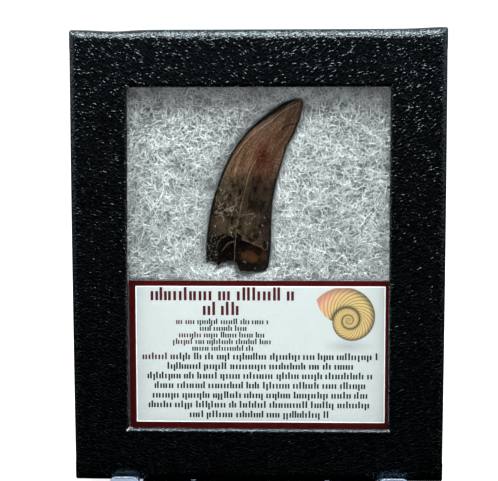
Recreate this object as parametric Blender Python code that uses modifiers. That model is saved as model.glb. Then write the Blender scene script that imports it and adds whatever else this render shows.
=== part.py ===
"""A fossil tooth in a glass-topped display case, leaning on a clear easel.

The case is a shallow board box with a window lid. Behind the window lie a glass
pane, a printed card and the tooth, all pressed into a pad of fibre batting.
"""

import math

import bmesh
import bpy
from mathutils import Matrix, Vector, noise

MM = 0.001

# The case, in its own frame: X to the right, Y from the front face to the back, Z up from the bottom edge
CASE_WIDTH = 114.3 * MM
CASE_HEIGHT = 139.7 * MM
CASE_DEPTH = 19.05 * MM
CASE_LEAN = math.radians(12.0)
MID_HEIGHT = CASE_HEIGHT / 2
GAP = 0.3 * MM

# The lid
BORDER = 16.78 * MM
LID_BOARD = 1.8 * MM
LID_WALL = 1.6 * MM
LID_DEPTH = 17.85 * MM
LID_FRONT_ROUND = 1.3 * MM
LID_CORNER_ROUND = 0.9 * MM
WINDOW_ROUND = 1.1 * MM
RIM_CHAMFER = 0.3 * MM

# What lies behind the window
GLASS_THICKNESS = 1.9 * MM
GLASS_INSET = 2.1 * MM
GLASS_EDGE = 0.2 * MM
GLASS_FRONT = LID_BOARD + GAP
GLASS_BACK = GLASS_FRONT + GLASS_THICKNESS
FILLING_FRONT = GLASS_BACK + GAP
CARD_LEFT = -40.5 * MM
CARD_RIGHT = 41.2 * MM
CARD_BOTTOM = MID_HEIGHT - 54.1 * MM
CARD_TOP = MID_HEIGHT - 6.8 * MM
CARD_THICKNESS = 0.4 * MM

# The tray that the lid slides over
TRAY_WALL = 1.5 * MM
TRAY_INSET = LID_WALL + GAP
TRAY_ROUND = 0.8 * MM
BATTING_INSET = TRAY_INSET + TRAY_WALL + 0.4 * MM
BATTING_ROUND = 1.2 * MM

# The steel pins through the long sides
PIN_LENGTH = 12.0 * MM
PIN_POINT = 1.5 * MM
PIN_RADIUS = 0.35 * MM
PIN_HEAD_RADIUS = 0.95 * MM
PIN_HEAD_THICKNESS = 0.45 * MM
PIN_DEPTH = 11.0 * MM
PIN_HEIGHTS = {"low": 34.0 * MM, "high": 105.0 * MM}

# The tooth: matching points up its two edges, base to tip, in millimetres from the middle of the case
TOOTH_LEFT = (
    (-16.6, -4.3), (-16.4, 3.0), (-15.85, 9.0), (-14.65, 16.0), (-12.5, 23.0), (-9.85, 29.5),
    (-6.3, 35.5), (-1.9, 40.65), (2.45, 44.35), (6.15, 47.1), (8.9, 48.85), (11.0, 49.65), (12.45, 49.85),
)
TOOTH_RIGHT = (
    (3.2, -4.3), (3.95, 3.0), (3.97, 9.5), (4.3, 16.3), (5.35, 22.3), (6.9, 28.0),
    (8.75, 33.9), (10.85, 38.1), (12.4, 41.7), (13.45, 44.9), (14.2, 47.0), (14.25, 48.6), (13.6, 49.5),
)
TOOTH_RINGS = 52
TOOTH_SIDES = 40

# How thick the tooth is for its width, at the base and near the tip, and how sharp its two edges are
TOOTH_BASE_RATIO = 0.49
TOOTH_TIP_RATIO = 0.65
TOOTH_EDGE_SHARPNESS = 1.12

# How far behind the front face the middle of the tooth lies, at the base and at the tip, in millimetres
TOOTH_BASE_MIDDLE = 9.7
TOOTH_TIP_MIDDLE = 8.3

# Below this height the tooth is drawn on to its broken edge, and inside it the break is hollowed
BREAK_BLEND = 6.0
BREAK_HOLLOW = 1.1
BREAK_ROUGHNESS = 0.45

# Where the enamel ends above the base: heights at places across the tooth, and the step down below them
ENAMEL_EDGE = (
    (-16.0, 5.4), (-12.6, 6.7), (-9.5, 7.7), (-6.0, 7.9), (-3.9, 5.4), (-2.0, 4.5), (0.0, 3.5), (1.5, 2.4),
    (3.3, 3.0),
)
ENAMEL_STEP = 0.35

# The hollow in the batting: its clearance round the tooth, and how far it opens out towards the glass
HOLLOW_CLEARANCE = 0.45
HOLLOW_FLARE = 1.8
HOLLOW_RINGS = 20
HOLLOW_OVERSHOOT = 2.0

# The easel, one bent sheet
SHEET = 3.0 * MM
SHEET_EDGE = 0.25 * MM
LIP_SPACING = 83.6 * MM
LIP_WIDTH = 9.4 * MM
LIP_ABOVE_EDGE = 2.35 * MM
LIP_GAP = 0.4 * MM
LIP_CORNER = 2.2 * MM
BEND_RADIUS = 2.6 * MM
BEND_STEPS = 6
PRONG_END = 11.0 * MM
TONGUE_WIDTH = 42.0 * MM
TONGUE_LENGTH = 50.0 * MM
TONGUE_SLOT = 1.2 * MM
TONGUE_ROOT = 2.0 * MM
REAR_BAR = 10.0 * MM
EASEL_OFFSET = 0.27 * MM
PLATE_CORNER = 4.0 * MM
TONGUE_CORNER = 7.0 * MM

# The case's lowest edge is the back corner of the lid's rim, which stands on the prongs
CASE_FOOT = SHEET + GAP + LID_DEPTH * math.sin(CASE_LEAN)

# The lips rise along the front of the case: where their bend starts, and how far they run straight
LIP_TURN = math.pi / 2 + CASE_LEAN
LIP_LINE = LIP_GAP + SHEET / 2
LIP_RISE = CASE_FOOT - SHEET / 2 + LIP_LINE * math.sin(CASE_LEAN)
LIP_TANGENT = BEND_RADIUS * math.tan(LIP_TURN / 2)
LIP_STRAIGHT = LIP_RISE / math.cos(CASE_LEAN) + LIP_ABOVE_EDGE - LIP_TANGENT
LIP_BEND_LINE = LIP_TANGENT - LIP_LINE * math.cos(CASE_LEAN) - LIP_RISE * math.tan(CASE_LEAN)
LIP_FRONT = LIP_BEND_LINE - BEND_RADIUS - SHEET / 2

# The tongue rises along the back of the case in the same way
TONGUE_TURN = math.pi / 2 - CASE_LEAN
TONGUE_LINE = CASE_DEPTH + GAP + SHEET / 2
TONGUE_DROP = CASE_FOOT - SHEET / 2 - TONGUE_LINE * math.sin(CASE_LEAN)
TONGUE_BEND_LINE = (
    TONGUE_LINE * math.cos(CASE_LEAN) - TONGUE_DROP * math.tan(CASE_LEAN)
    - BEND_RADIUS * math.tan(TONGUE_TURN / 2)
)
EASEL_REAR = TONGUE_BEND_LINE + TONGUE_LENGTH + BEND_RADIUS + REAR_BAR

# The part stands on the middle of its footprint, from the front of the lips to the rear bar
SHIFT_BACK = -(LIP_FRONT + EASEL_REAR) / 2


def clear_scene():
    for found in list(bpy.data.objects):
        bpy.data.objects.remove(found, do_unlink=True)


def new_collection(name):
    made = bpy.data.collections.new(name)
    bpy.context.scene.collection.children.link(made)
    return made


def finish_material(name, colour, roughness, metallic=0.0, transmission=0.0):
    made = bpy.data.materials.new(name)
    made.use_nodes = True
    shader = made.node_tree.nodes["Principled BSDF"]
    shader.inputs["Base Color"].default_value = (*colour, 1.0)
    shader.inputs["Roughness"].default_value = roughness
    shader.inputs["Metallic"].default_value = metallic
    shader.inputs["Transmission Weight"].default_value = transmission
    return made


def add_object(name, shape, collection, material=None, parent=None):
    mesh = bpy.data.meshes.new(name)
    shape.to_mesh(mesh)
    shape.free()
    made = bpy.data.objects.new(name, mesh)
    collection.objects.link(made)
    made.parent = parent
    if material:
        mesh.materials.append(material)
    return made


def cut(target, cutter):
    change = target.modifiers.new("cut_" + cutter.name, "BOOLEAN")
    change.operation = "DIFFERENCE"
    change.solver = "EXACT"
    change.object = cutter


def hide_cutter(cutter):
    cutter.hide_render = True
    cutter.display_type = "WIRE"


def box(low, high):
    """A bmesh cube from its lowest to its highest corner."""
    shape = bmesh.new()
    bmesh.ops.create_cube(shape, size=1.0)
    low, high = Vector(low), Vector(high)
    bmesh.ops.scale(shape, vec=high - low, verts=shape.verts)
    bmesh.ops.translate(shape, vec=(low + high) / 2, verts=shape.verts)
    return shape


def round_edges(shape, edges, radius, steps):
    bmesh.ops.bevel(
        shape, geom=edges, offset=radius, offset_type="OFFSET", affect="EDGES",
        segments=steps, profile=0.5, material=-1,
    )


def shade_round(thing, angle=35.0):
    thing.data.shade_smooth()
    thing.data.set_sharp_from_angle(angle=math.radians(angle))


def arc(centre, radius, start, end, steps):
    """Points on an arc, as (inset, depth) pairs, with angles in degrees."""
    points = []
    for step in range(steps + 1):
        angle = math.radians(start + (end - start) * step / steps)
        points.append((centre[0] + radius * math.cos(angle), centre[1] + radius * math.sin(angle)))
    return points


def lid_profile():
    """The lid's section, as (inset from the outer side, depth behind the front face)."""
    profile = [(RIM_CHAMFER, LID_DEPTH), (0.0, LID_DEPTH - RIM_CHAMFER)]
    profile += arc((LID_FRONT_ROUND, LID_FRONT_ROUND), LID_FRONT_ROUND, 180, 270, 4)
    profile += arc((BORDER - WINDOW_ROUND, WINDOW_ROUND), WINDOW_ROUND, 270, 360, 3)
    profile += [(BORDER, LID_BOARD), (LID_WALL, LID_BOARD)]
    profile += [(LID_WALL, LID_DEPTH - RIM_CHAMFER), (LID_WALL - RIM_CHAMFER, LID_DEPTH)]
    return profile


def corner_section(profile, side_x, side_z, turn):
    """The profile set across one corner of the case, turned by an angle round the rounded corner."""
    points = []
    for inset, depth in profile:
        if inset < LID_CORNER_ROUND:
            across = LID_CORNER_ROUND - (LID_CORNER_ROUND - inset) * math.cos(turn)
            up = LID_CORNER_ROUND - (LID_CORNER_ROUND - inset) * math.sin(turn)
        else:
            across = inset
            up = inset
        points.append((side_x * (CASE_WIDTH / 2 - across), depth, MID_HEIGHT + side_z * (MID_HEIGHT - up)))
    return points


def make_lid(collection, material, parent):
    """A moulding with the lid's section, carried round the four sides and bridged into a ring."""
    shape = bmesh.new()
    profile = lid_profile()
    corner_turns = [math.radians(angle) for angle in (0, 30, 60, 90)]
    loops = []
    for side_x, side_z in ((1, 1), (-1, 1), (-1, -1), (1, -1)):
        turns = corner_turns if side_x * side_z > 0 else corner_turns[::-1]
        for turn in turns:
            points = [shape.verts.new(point) for point in corner_section(profile, side_x, side_z, turn)]
            loops.append([
                shape.edges.new((points[i], points[(i + 1) % len(points)])) for i in range(len(points))
            ])
    for number, loop in enumerate(loops):
        bmesh.ops.bridge_loops(shape, edges=loop + loops[(number + 1) % len(loops)])
    bmesh.ops.remove_doubles(shape, verts=shape.verts, dist=0.001 * MM)
    bmesh.ops.recalc_face_normals(shape, faces=shape.faces)
    lid = add_object("lid", shape, collection, material, parent)
    shade_round(lid)
    return lid


def make_glass(collection, material, parent):
    shape = box(
        (GLASS_INSET - CASE_WIDTH / 2, GLASS_FRONT, GLASS_INSET),
        (CASE_WIDTH / 2 - GLASS_INSET, GLASS_BACK, CASE_HEIGHT - GLASS_INSET),
    )
    round_edges(shape, list(shape.edges), GLASS_EDGE, 1)
    return add_object("glass_pane", shape, collection, material, parent)


def make_card(collection, material, parent):
    shape = box(
        (CARD_LEFT, FILLING_FRONT, CARD_BOTTOM),
        (CARD_RIGHT, FILLING_FRONT + CARD_THICKNESS, CARD_TOP),
    )
    return add_object("label_card", shape, collection, material, parent)


def make_tray(collection, material, parent):
    """An open box, thickened inwards."""
    low = Vector((TRAY_INSET - CASE_WIDTH / 2, FILLING_FRONT, TRAY_INSET))
    high = Vector((CASE_WIDTH / 2 - TRAY_INSET, CASE_DEPTH, CASE_HEIGHT - TRAY_INSET))
    shape = box(low, high)
    mouth = min(shape.faces, key=lambda face: face.calc_center_median().y)
    kept = set(mouth.edges)
    bmesh.ops.delete(shape, geom=[mouth], context="FACES_ONLY")
    round_edges(shape, [edge for edge in shape.edges if edge not in kept], TRAY_ROUND, 2)
    tray = add_object("base_tray", shape, collection, material, parent)
    wall = tray.modifiers.new("wall", "SOLIDIFY")
    wall.thickness = TRAY_WALL
    wall.offset = -1.0
    wall.use_even_offset = True
    shade_round(tray)
    return tray


def make_pin(name, side, height, collection, material, parent):
    """A turned steel pin, driven in from one side of the case."""
    shape = bmesh.new()
    head_face = -PIN_HEAD_THICKNESS - GAP
    profile = [
        (0.0, head_face), (PIN_HEAD_RADIUS * 0.7, head_face + PIN_HEAD_THICKNESS / 6),
        (PIN_HEAD_RADIUS, head_face + PIN_HEAD_THICKNESS / 2), (PIN_HEAD_RADIUS, -GAP), (PIN_RADIUS, -GAP),
        (PIN_RADIUS, PIN_LENGTH - PIN_POINT), (0.0, PIN_LENGTH),
    ]
    points = [shape.verts.new((radius, 0.0, along)) for radius, along in profile]
    edges = [shape.edges.new(pair) for pair in zip(points, points[1:])]
    bmesh.ops.spin(
        shape, geom=points + edges, cent=(0, 0, 0), axis=(0, 0, 1), angle=math.tau, steps=12, use_merge=True,
    )
    bmesh.ops.remove_doubles(shape, verts=shape.verts, dist=0.001 * MM)
    turn = Matrix.Rotation(-side * math.pi / 2, 4, "Y")
    bmesh.ops.transform(shape, matrix=turn, verts=shape.verts)
    bmesh.ops.recalc_face_normals(shape, faces=shape.faces)
    pin = add_object(name, shape, collection, material, parent)
    pin.location = (side * CASE_WIDTH / 2, PIN_DEPTH, height)
    shade_round(pin)
    return pin


def make_pin_bores(cutters, parent):
    """One cutter for the bores that the pins pass through."""
    shape = bmesh.new()
    beyond_head = 2 * MM
    beyond_point = 1 * MM
    reach = beyond_head + PIN_LENGTH + beyond_point
    for side in (-1, 1):
        for height in PIN_HEIGHTS.values():
            centre = Vector((side * (CASE_WIDTH / 2 + beyond_head - reach / 2), PIN_DEPTH, height))
            place = Matrix.Translation(centre) @ Matrix.Rotation(math.pi / 2, 4, "Y")
            bmesh.ops.create_cone(
                shape, cap_ends=True, segments=12, radius1=PIN_RADIUS + GAP, radius2=PIN_RADIUS + GAP,
                depth=reach, matrix=place,
            )
    cutter = add_object("pin_bores", shape, cutters, parent=parent)
    hide_cutter(cutter)
    return cutter


def smooth_point(points, t):
    """A point on a smooth curve through the given points, for t from 0 to 1."""
    spans = len(points) - 1
    place = min(max(t, 0.0), 1.0) * spans
    start = min(int(place), spans - 1)
    u = place - start
    before = Vector(points[max(start - 1, 0)])
    first = Vector(points[start])
    second = Vector(points[start + 1])
    after = Vector(points[min(start + 2, spans)])
    return 0.5 * (
        2 * first + (second - before) * u
        + (2 * before - 5 * first + 4 * second - after) * u ** 2
        + (3 * first - before - 3 * second + after) * u ** 3
    )


def ease(low, high, value):
    """0 below low, 1 above high, smooth between."""
    u = min(max((value - low) / (high - low), 0.0), 1.0)
    return u * u * (3 - 2 * u)


def bump(middle, width, value):
    return math.exp(-((value - middle) / width) ** 2)


def break_height(across):
    """Height of the tooth's broken edge at a place across it: a short left part and a longer right part."""
    height = -1.15 - 2.9 * ease(-7.1, -5.3, across)
    height -= 1.1 * bump(-12.4, 0.8, across)
    height -= 0.7 * bump(-16.4, 0.7, across)
    height += 0.45 * bump(-8.7, 1.3, across)
    height += 0.9 * bump(3.3, 0.8, across)
    return height


def tooth_ring(t, swell=0.0, flare=None):
    """One section of the tooth, in millimetres. With a flare, its front half opens out to the glass."""
    left = smooth_point(TOOTH_LEFT, t)
    right = smooth_point(TOOTH_RIGHT, t)
    centre = (left + right) / 2
    half = (right - left) / 2
    reach = max(half.length, 0.01)
    across_axis = half / reach
    ratio = TOOTH_BASE_RATIO + (TOOTH_TIP_RATIO - TOOTH_BASE_RATIO) * ease(0.45, 1.0, t)
    depth_middle = TOOTH_BASE_MIDDLE + (TOOTH_TIP_MIDDLE - TOOTH_BASE_MIDDLE) * t ** 1.5
    ring = []
    for side in range(TOOTH_SIDES):
        angle = math.tau * side / TOOTH_SIDES
        out, forward = math.cos(angle), math.sin(angle)
        depth = math.copysign(abs(forward) ** TOOTH_EDGE_SHARPNESS, forward) * reach * ratio
        spread = (reach + swell) * out
        if flare is not None and forward > 0.05:
            spread = (reach + flare) * out
            depth = depth_middle - FILLING_FRONT / MM + HOLLOW_OVERSHOOT
        else:
            depth += swell * forward
        spot = centre + across_axis * spread
        ring.append(Vector((spot.x, depth_middle - depth, spot.y)))
    return ring


def set_on_break(point):
    """Draws the lowest part of the tooth up to its broken edge."""
    lowest = TOOTH_LEFT[0][1]
    if point.z < BREAK_BLEND:
        edge = break_height(point.x)
        share = (point.z - lowest) / (BREAK_BLEND - lowest)
        point.z = edge + share * (BREAK_BLEND - edge)
    return point


def enamel_height(across):
    """Height of the enamel's broken edge on the front of the tooth."""
    for (left, low), (right, high) in zip(ENAMEL_EDGE, ENAMEL_EDGE[1:]):
        if across <= right:
            return low + (high - low) * ease(left, right, across)
    return ENAMEL_EDGE[-1][1]


def wear(point, facing):
    """A small chip out of the inner edge, and the front's enamel broken away above the base."""
    chip = 0.55 * bump(34.9, 1.0, point.z) * ease(6.5, 8.5, point.x)
    edge = enamel_height(point.x)
    step = ENAMEL_STEP * (1 - ease(edge - 0.4, edge + 0.4, point.z)) * ease(0.2, 0.6, facing)
    return Vector((point.x - chip, point.y + step, point.z))


def broken_face(rim, share):
    """A ring inside the broken base: the rim drawn in, sunk a little and rough."""
    centre = sum(rim, Vector()) / len(rim)
    ring = []
    for point in rim:
        inner = centre.lerp(point, share)
        inner.z = break_height(inner.x) + BREAK_HOLLOW * (1 - share ** 2)
        inner.z += BREAK_ROUGHNESS * noise.noise(inner * 0.55)
        ring.append(inner)
    return ring


def loft(rings):
    """A closed skin over rings of points: the first ring filled, then drawn out from ring to ring."""
    shape = bmesh.new()
    bmesh.ops.create_circle(shape, cap_ends=True, cap_tris=True, segments=len(rings[0]), radius=1.0)
    hub = max(shape.verts, key=lambda vert: len(vert.link_edges))
    loop = [vert for vert in shape.verts if vert is not hub]
    loop.sort(key=lambda vert: math.atan2(vert.co.y, vert.co.x) % math.tau)
    hub.co = sum(rings[0], Vector()) / len(rings[0])
    for vert, place in zip(loop, rings[0]):
        vert.co = place
    for ring in rings[1:]:
        edges = [loop[i].link_edges for i in range(len(loop))]
        border = [
            next(edge for edge in edges[i] if edge.other_vert(loop[i]) is loop[(i + 1) % len(loop)])
            for i in range(len(loop))
        ]
        made = bmesh.ops.extrude_edge_only(shape, edges=border)["geom"]
        fresh = {item for item in made if isinstance(item, bmesh.types.BMVert)}
        loop = [
            next(edge.other_vert(vert) for edge in vert.link_edges if edge.other_vert(vert) in fresh)
            for vert in loop
        ]
        for vert, place in zip(loop, ring):
            vert.co = place
    bmesh.ops.holes_fill(shape, edges=[edge for edge in shape.edges if edge.is_boundary], sides=0)
    bmesh.ops.recalc_face_normals(shape, faces=shape.faces)
    return shape


def into_case(shape):
    """From millimetres about the middle of the case to metres up from its bottom edge."""
    place = Matrix.Translation((0, 0, MID_HEIGHT)) @ Matrix.Scale(MM, 4)
    bmesh.ops.transform(shape, matrix=place, verts=shape.verts)
    return shape


def make_tooth(collection, material, parent):
    facings = [math.sin(math.tau * side / TOOTH_SIDES) for side in range(TOOTH_SIDES)]
    rings = []
    for number in range(TOOTH_RINGS):
        ring = tooth_ring(number / (TOOTH_RINGS - 1))
        rings.append([wear(set_on_break(point), facing) for point, facing in zip(ring, facings)])
    inner = [broken_face(rings[0], share) for share in (0.3, 0.62, 0.88)]
    tooth = add_object("tooth", into_case(loft(inner + rings)), collection, material, parent)
    shade_round(tooth, 50.0)
    return tooth


def make_tooth_hollow(cutters, parent):
    """The hollow that the tooth presses into the batting, open towards the glass."""
    rings = [
        tooth_ring(number / (HOLLOW_RINGS - 1), HOLLOW_CLEARANCE, HOLLOW_FLARE) for number in range(HOLLOW_RINGS)
    ]
    below = [point - Vector((0, 0, 1)) for point in rings[0]]
    tip_way = (smooth_point(TOOTH_LEFT, 1.0) - smooth_point(TOOTH_LEFT, 0.85)).normalized()
    beyond = [point + 1.2 * Vector((tip_way.x, 0, tip_way.y)) for point in rings[-1]]
    hollow = add_object("tooth_hollow", into_case(loft([below] + rings + [beyond])), cutters, parent=parent)
    hide_cutter(hollow)
    return hollow


def make_card_hollow(cutters, parent):
    shape = box(
        (CARD_LEFT - GAP, FILLING_FRONT - 1 * MM, CARD_BOTTOM - GAP),
        (CARD_RIGHT + GAP, FILLING_FRONT + CARD_THICKNESS + GAP, CARD_TOP + GAP),
    )
    hollow = add_object("card_hollow", shape, cutters, parent=parent)
    hide_cutter(hollow)
    return hollow


def make_batting(collection, material, parent):
    shape = box(
        (BATTING_INSET - CASE_WIDTH / 2, FILLING_FRONT, BATTING_INSET),
        (CASE_WIDTH / 2 - BATTING_INSET, CASE_DEPTH - TRAY_WALL - GAP, CASE_HEIGHT - BATTING_INSET),
    )
    round_edges(shape, list(shape.edges), BATTING_ROUND, 2)
    return add_object("fibre_batting", shape, collection, material, parent)


def sheet_grid(columns, rows, missing):
    """A flat mesh of quads between the given lines, without the cells that are missing."""
    shape = bmesh.new()
    bmesh.ops.create_grid(shape, x_segments=len(columns) - 1, y_segments=len(rows) - 1, size=1.0)
    across = sorted({round(vert.co.x, 6) for vert in shape.verts})
    along = sorted({round(vert.co.y, 6) for vert in shape.verts})
    for vert in shape.verts:
        column = across.index(round(vert.co.x, 6))
        row = along.index(round(vert.co.y, 6))
        vert.co = (columns[column], rows[row], SHEET / 2)
    gone = [face for face in shape.faces if missing(face.calc_center_median())]
    bmesh.ops.delete(shape, geom=gone, context="FACES")
    return shape


def draw_out(shape, edges, path):
    """Extrudes edges along a path of (depth, height) steps, and returns the last edges."""
    for step in path:
        made = bmesh.ops.extrude_edge_only(shape, edges=edges)["geom"]
        verts = [item for item in made if isinstance(item, bmesh.types.BMVert)]
        edges = [item for item in made if isinstance(item, bmesh.types.BMEdge)]
        edges = [edge for edge in edges if all(vert in verts for vert in edge.verts)]
        bmesh.ops.translate(shape, vec=(0, step[0], step[1]), verts=verts)
    return edges


def bend_steps(direction, turn, straight):
    """Steps of a bend up from the flat, starting backwards (1) or forwards (-1), then a straight run."""
    path = []
    for step in range(BEND_STEPS):
        start = turn * step / BEND_STEPS
        end = turn * (step + 1) / BEND_STEPS
        along = BEND_RADIUS * (math.sin(end) - math.sin(start))
        up = BEND_RADIUS * (math.cos(start) - math.cos(end))
        path.append((direction * along, up))
    path.append((direction * straight * math.cos(turn), straight * math.sin(turn)))
    return path


def round_corners(shape, corners, radius):
    verts = [
        min(shape.verts, key=lambda vert: (vert.co - Vector(corner)).length) for corner in corners
    ]
    bmesh.ops.bevel(
        shape, geom=verts, offset=radius, offset_type="OFFSET", affect="VERTICES",
        segments=5, profile=0.5, material=-1,
    )


def make_easel(collection, material):
    """One clear sheet: two prongs with upturned lips, and a tongue cut free and bent up behind the case."""
    outer = (LIP_SPACING + LIP_WIDTH) / 2
    inner = outer - LIP_WIDTH
    slot = TONGUE_WIDTH / 2 + TONGUE_SLOT
    root_line = TONGUE_BEND_LINE - TONGUE_ROOT
    bar_line = EASEL_REAR - REAR_BAR
    columns = [-outer, -inner, -slot, -TONGUE_WIDTH / 2, TONGUE_WIDTH / 2, slot, inner, outer]
    rows = [LIP_BEND_LINE, PRONG_END, root_line, bar_line, EASEL_REAR]

    def missing(spot):
        between_prongs = abs(spot.x) < inner and spot.y < PRONG_END
        behind_tongue = abs(spot.x) < slot and root_line < spot.y < bar_line
        return between_prongs or behind_tongue

    shape = sheet_grid(columns, rows, missing)

    def edges_on(line, low, high):
        return [
            edge for edge in shape.edges
            if all(abs(vert.co.y - line) < 0.01 * MM for vert in edge.verts)
            and all(low - 0.01 * MM <= abs(vert.co.x) <= high + 0.01 * MM for vert in edge.verts)
        ]

    lip_path = bend_steps(-1, LIP_TURN, LIP_STRAIGHT)
    tongue_path = [(TONGUE_ROOT, 0.0)] + bend_steps(1, TONGUE_TURN, TONGUE_LENGTH)
    lips = draw_out(shape, edges_on(LIP_BEND_LINE, inner, outer), lip_path)
    tongue = draw_out(shape, edges_on(root_line, 0.0, TONGUE_WIDTH / 2), tongue_path)
    lip_ends = [vert.co.copy() for edge in lips for vert in edge.verts]
    tongue_ends = [vert.co.copy() for edge in tongue for vert in edge.verts]
    plate_ends = [(side * outer, EASEL_REAR, SHEET / 2) for side in (-1, 1)]
    round_corners(shape, lip_ends, LIP_CORNER)
    round_corners(shape, tongue_ends, TONGUE_CORNER)
    round_corners(shape, plate_ends, PLATE_CORNER)
    bmesh.ops.recalc_face_normals(shape, faces=shape.faces)
    easel = add_object("display_easel", shape, collection, material)
    easel.location = (EASEL_OFFSET, SHIFT_BACK, 0)
    thick = easel.modifiers.new("sheet", "SOLIDIFY")
    thick.thickness = SHEET
    thick.offset = 0.0
    thick.use_even_offset = True
    edge = easel.modifiers.new("edge", "BEVEL")
    edge.width = SHEET_EDGE
    edge.segments = 1
    edge.limit_method = "ANGLE"
    edge.angle_limit = math.radians(50)
    shade_round(easel)
    return easel


def main():
    clear_scene()
    parts = new_collection("framed_fossil_tooth")
    cutters = new_collection("cutters")
    case = bpy.data.objects.new("case_axes", None)
    parts.objects.link(case)
    case.location = (0, SHIFT_BACK, CASE_FOOT)
    case.rotation_euler = (-CASE_LEAN, 0, 0)

    board = finish_material("grained_black_paper", (0.012, 0.014, 0.016), 0.5)
    inner_board = finish_material("tray_black_paper", (0.015, 0.016, 0.017), 0.6)
    glass = finish_material("window_glass", (0.95, 0.98, 0.97), 0.02, transmission=1.0)
    fibre = finish_material("white_fibre", (0.75, 0.77, 0.78), 0.9)
    enamel = finish_material("fossil_enamel", (0.09, 0.05, 0.03), 0.3)
    card = finish_material("printed_card", (0.75, 0.73, 0.7), 0.5)
    steel = finish_material("pin_steel", (0.6, 0.6, 0.6), 0.25, metallic=1.0)
    acrylic = finish_material("clear_acrylic", (0.86, 0.93, 0.97), 0.04, transmission=1.0)

    lid = make_lid(parts, board, case)
    make_glass(parts, glass, case)
    batting = make_batting(parts, fibre, case)
    make_tooth(parts, enamel, case)
    make_card(parts, card, case)
    tray = make_tray(parts, inner_board, case)
    for side_name, side in (("left", -1), ("right", 1)):
        for level, height in PIN_HEIGHTS.items():
            make_pin(f"pin_{side_name}_{level}", side, height, parts, steel, case)
    make_easel(parts, acrylic)

    bores = make_pin_bores(cutters, case)
    for walled in (lid, tray, batting):
        cut(walled, bores)
    cut(batting, make_tooth_hollow(cutters, case))
    cut(batting, make_card_hollow(cutters, case))


main()
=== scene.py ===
"""The looks of a fossil tooth in its glass-topped display case, on a clear easel."""

import math

import bmesh
import bpy
import numpy as np
from mathutils import Matrix, Vector, noise


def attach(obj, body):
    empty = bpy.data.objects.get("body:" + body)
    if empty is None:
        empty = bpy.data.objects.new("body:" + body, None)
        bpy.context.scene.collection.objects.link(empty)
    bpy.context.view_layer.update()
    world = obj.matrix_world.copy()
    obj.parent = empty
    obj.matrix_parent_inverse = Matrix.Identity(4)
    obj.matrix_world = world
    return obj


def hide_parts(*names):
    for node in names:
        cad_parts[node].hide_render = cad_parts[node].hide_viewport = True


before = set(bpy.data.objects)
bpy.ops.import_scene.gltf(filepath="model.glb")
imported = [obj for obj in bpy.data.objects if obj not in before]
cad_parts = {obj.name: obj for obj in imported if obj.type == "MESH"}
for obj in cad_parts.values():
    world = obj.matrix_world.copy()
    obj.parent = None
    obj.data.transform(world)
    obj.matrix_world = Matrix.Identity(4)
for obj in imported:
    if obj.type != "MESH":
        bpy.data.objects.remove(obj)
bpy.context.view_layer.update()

MM = 0.001
CLOSE = 0.01 * MM
IMAGE_WIDTH = 498

# The case, in its own frame: X to the right, Y from the front face to the back, Z up from the bottom edge
CASE_WIDTH = 114.3 * MM
CASE_HEIGHT = 139.7 * MM
CASE_DEPTH = 19.05 * MM
CASE_LEAN = math.radians(12.0)
MID_HEIGHT = CASE_HEIGHT / 2
GAP = 0.3 * MM

# The lid
BORDER = 16.78 * MM
LID_BOARD = 1.8 * MM
LID_WALL = 1.6 * MM
LID_DEPTH = 17.85 * MM
LID_FRONT_ROUND = 3.0 * MM
LID_CORNER_ROUND = 0.6 * MM
WINDOW_ROUND = 1.1 * MM
RIM_CHAMFER = 0.3 * MM
FRONT_ROUND_STEPS = 14
WINDOW_ROUND_STEPS = 8
WALL_STEPS = 8
FACE_STEPS = 9
SIDE_SECTIONS = 64

# How the wrapped board departs from true: its sides bow out, one corner is peaked, the opening is a little
# askew and the paper laps at the corners
SIDE_BOW = 0.22 * MM
SIDE_SWELL = 0.36 * MM
TOP_RISE = 0.45 * MM
CORNER_PEAK = 0.95 * MM
PEAK_WIDTH = 8.0 * MM
TOP_DIP_PLACE = 13.0 * MM
TOP_DIP_WIDTH = 6.0 * MM
PAPER_LAP = 0.13 * MM
LAP_WIDTH = 6.0 * MM
LAP_EDGE = 0.25 * MM
BOARD_WAVE = 0.1 * MM
OPENING_SKEW = 0.4 * MM

# The wrapping paper: depth of its grain in metres and its roughness, on the lid and on the tray, and the
# share of the grain that is left where the paper is pulled over the lid's front edge
LID_GRAIN = 0.00011
LID_ROUGH = 0.15
TRAY_GRAIN = 0.00008
TRAY_ROUGH = 0.35
PULLED_GRAIN = 0.8

# Slivers of bare board at the corners of the window: name, side across, side up, and in millimetres the first
# and last (across, up) insets from the lid's outer corner and the width
BARE_CORNERS = (
    ("top_left", -1, 1, (17.1, 16.3), (18.6, 17.6), 0.4),
    ("top_right", 1, 1, (16.1, 16.1), (16.9, 16.9), 0.3),
    ("bottom_left", -1, -1, (16.2, 16.0), (17.2, 17.3), 0.4),
    ("fork", -1, -1, (17.0, 16.9), (18.0, 16.9), 0.3),
    ("bottom_right", 1, -1, (16.1, 16.2), (16.9, 16.9), 0.3),
)
BARE_STEPS = 12
BARE_THICKNESS = 0.1 * MM

# What lies behind the window
GLASS_BACK = 4.0 * MM
FILLING_FRONT = 4.3 * MM
CARD_LEFT = -40.25 * MM
CARD_RIGHT = 41.2 * MM
CARD_BOTTOM = MID_HEIGHT - 54.1 * MM
CARD_TOP = MID_HEIGHT - 6.8 * MM
CARD_THICKNESS = 0.4 * MM

# The tray, and the paper panel that covers the ends of its wrapping at the back
TRAY_WALL = 1.5 * MM
TRAY_INSET = LID_WALL + GAP
TRAY_ROUND = 0.8 * MM
PANEL_INSET = 7.0 * MM
PANEL_RISE = 0.12 * MM

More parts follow.
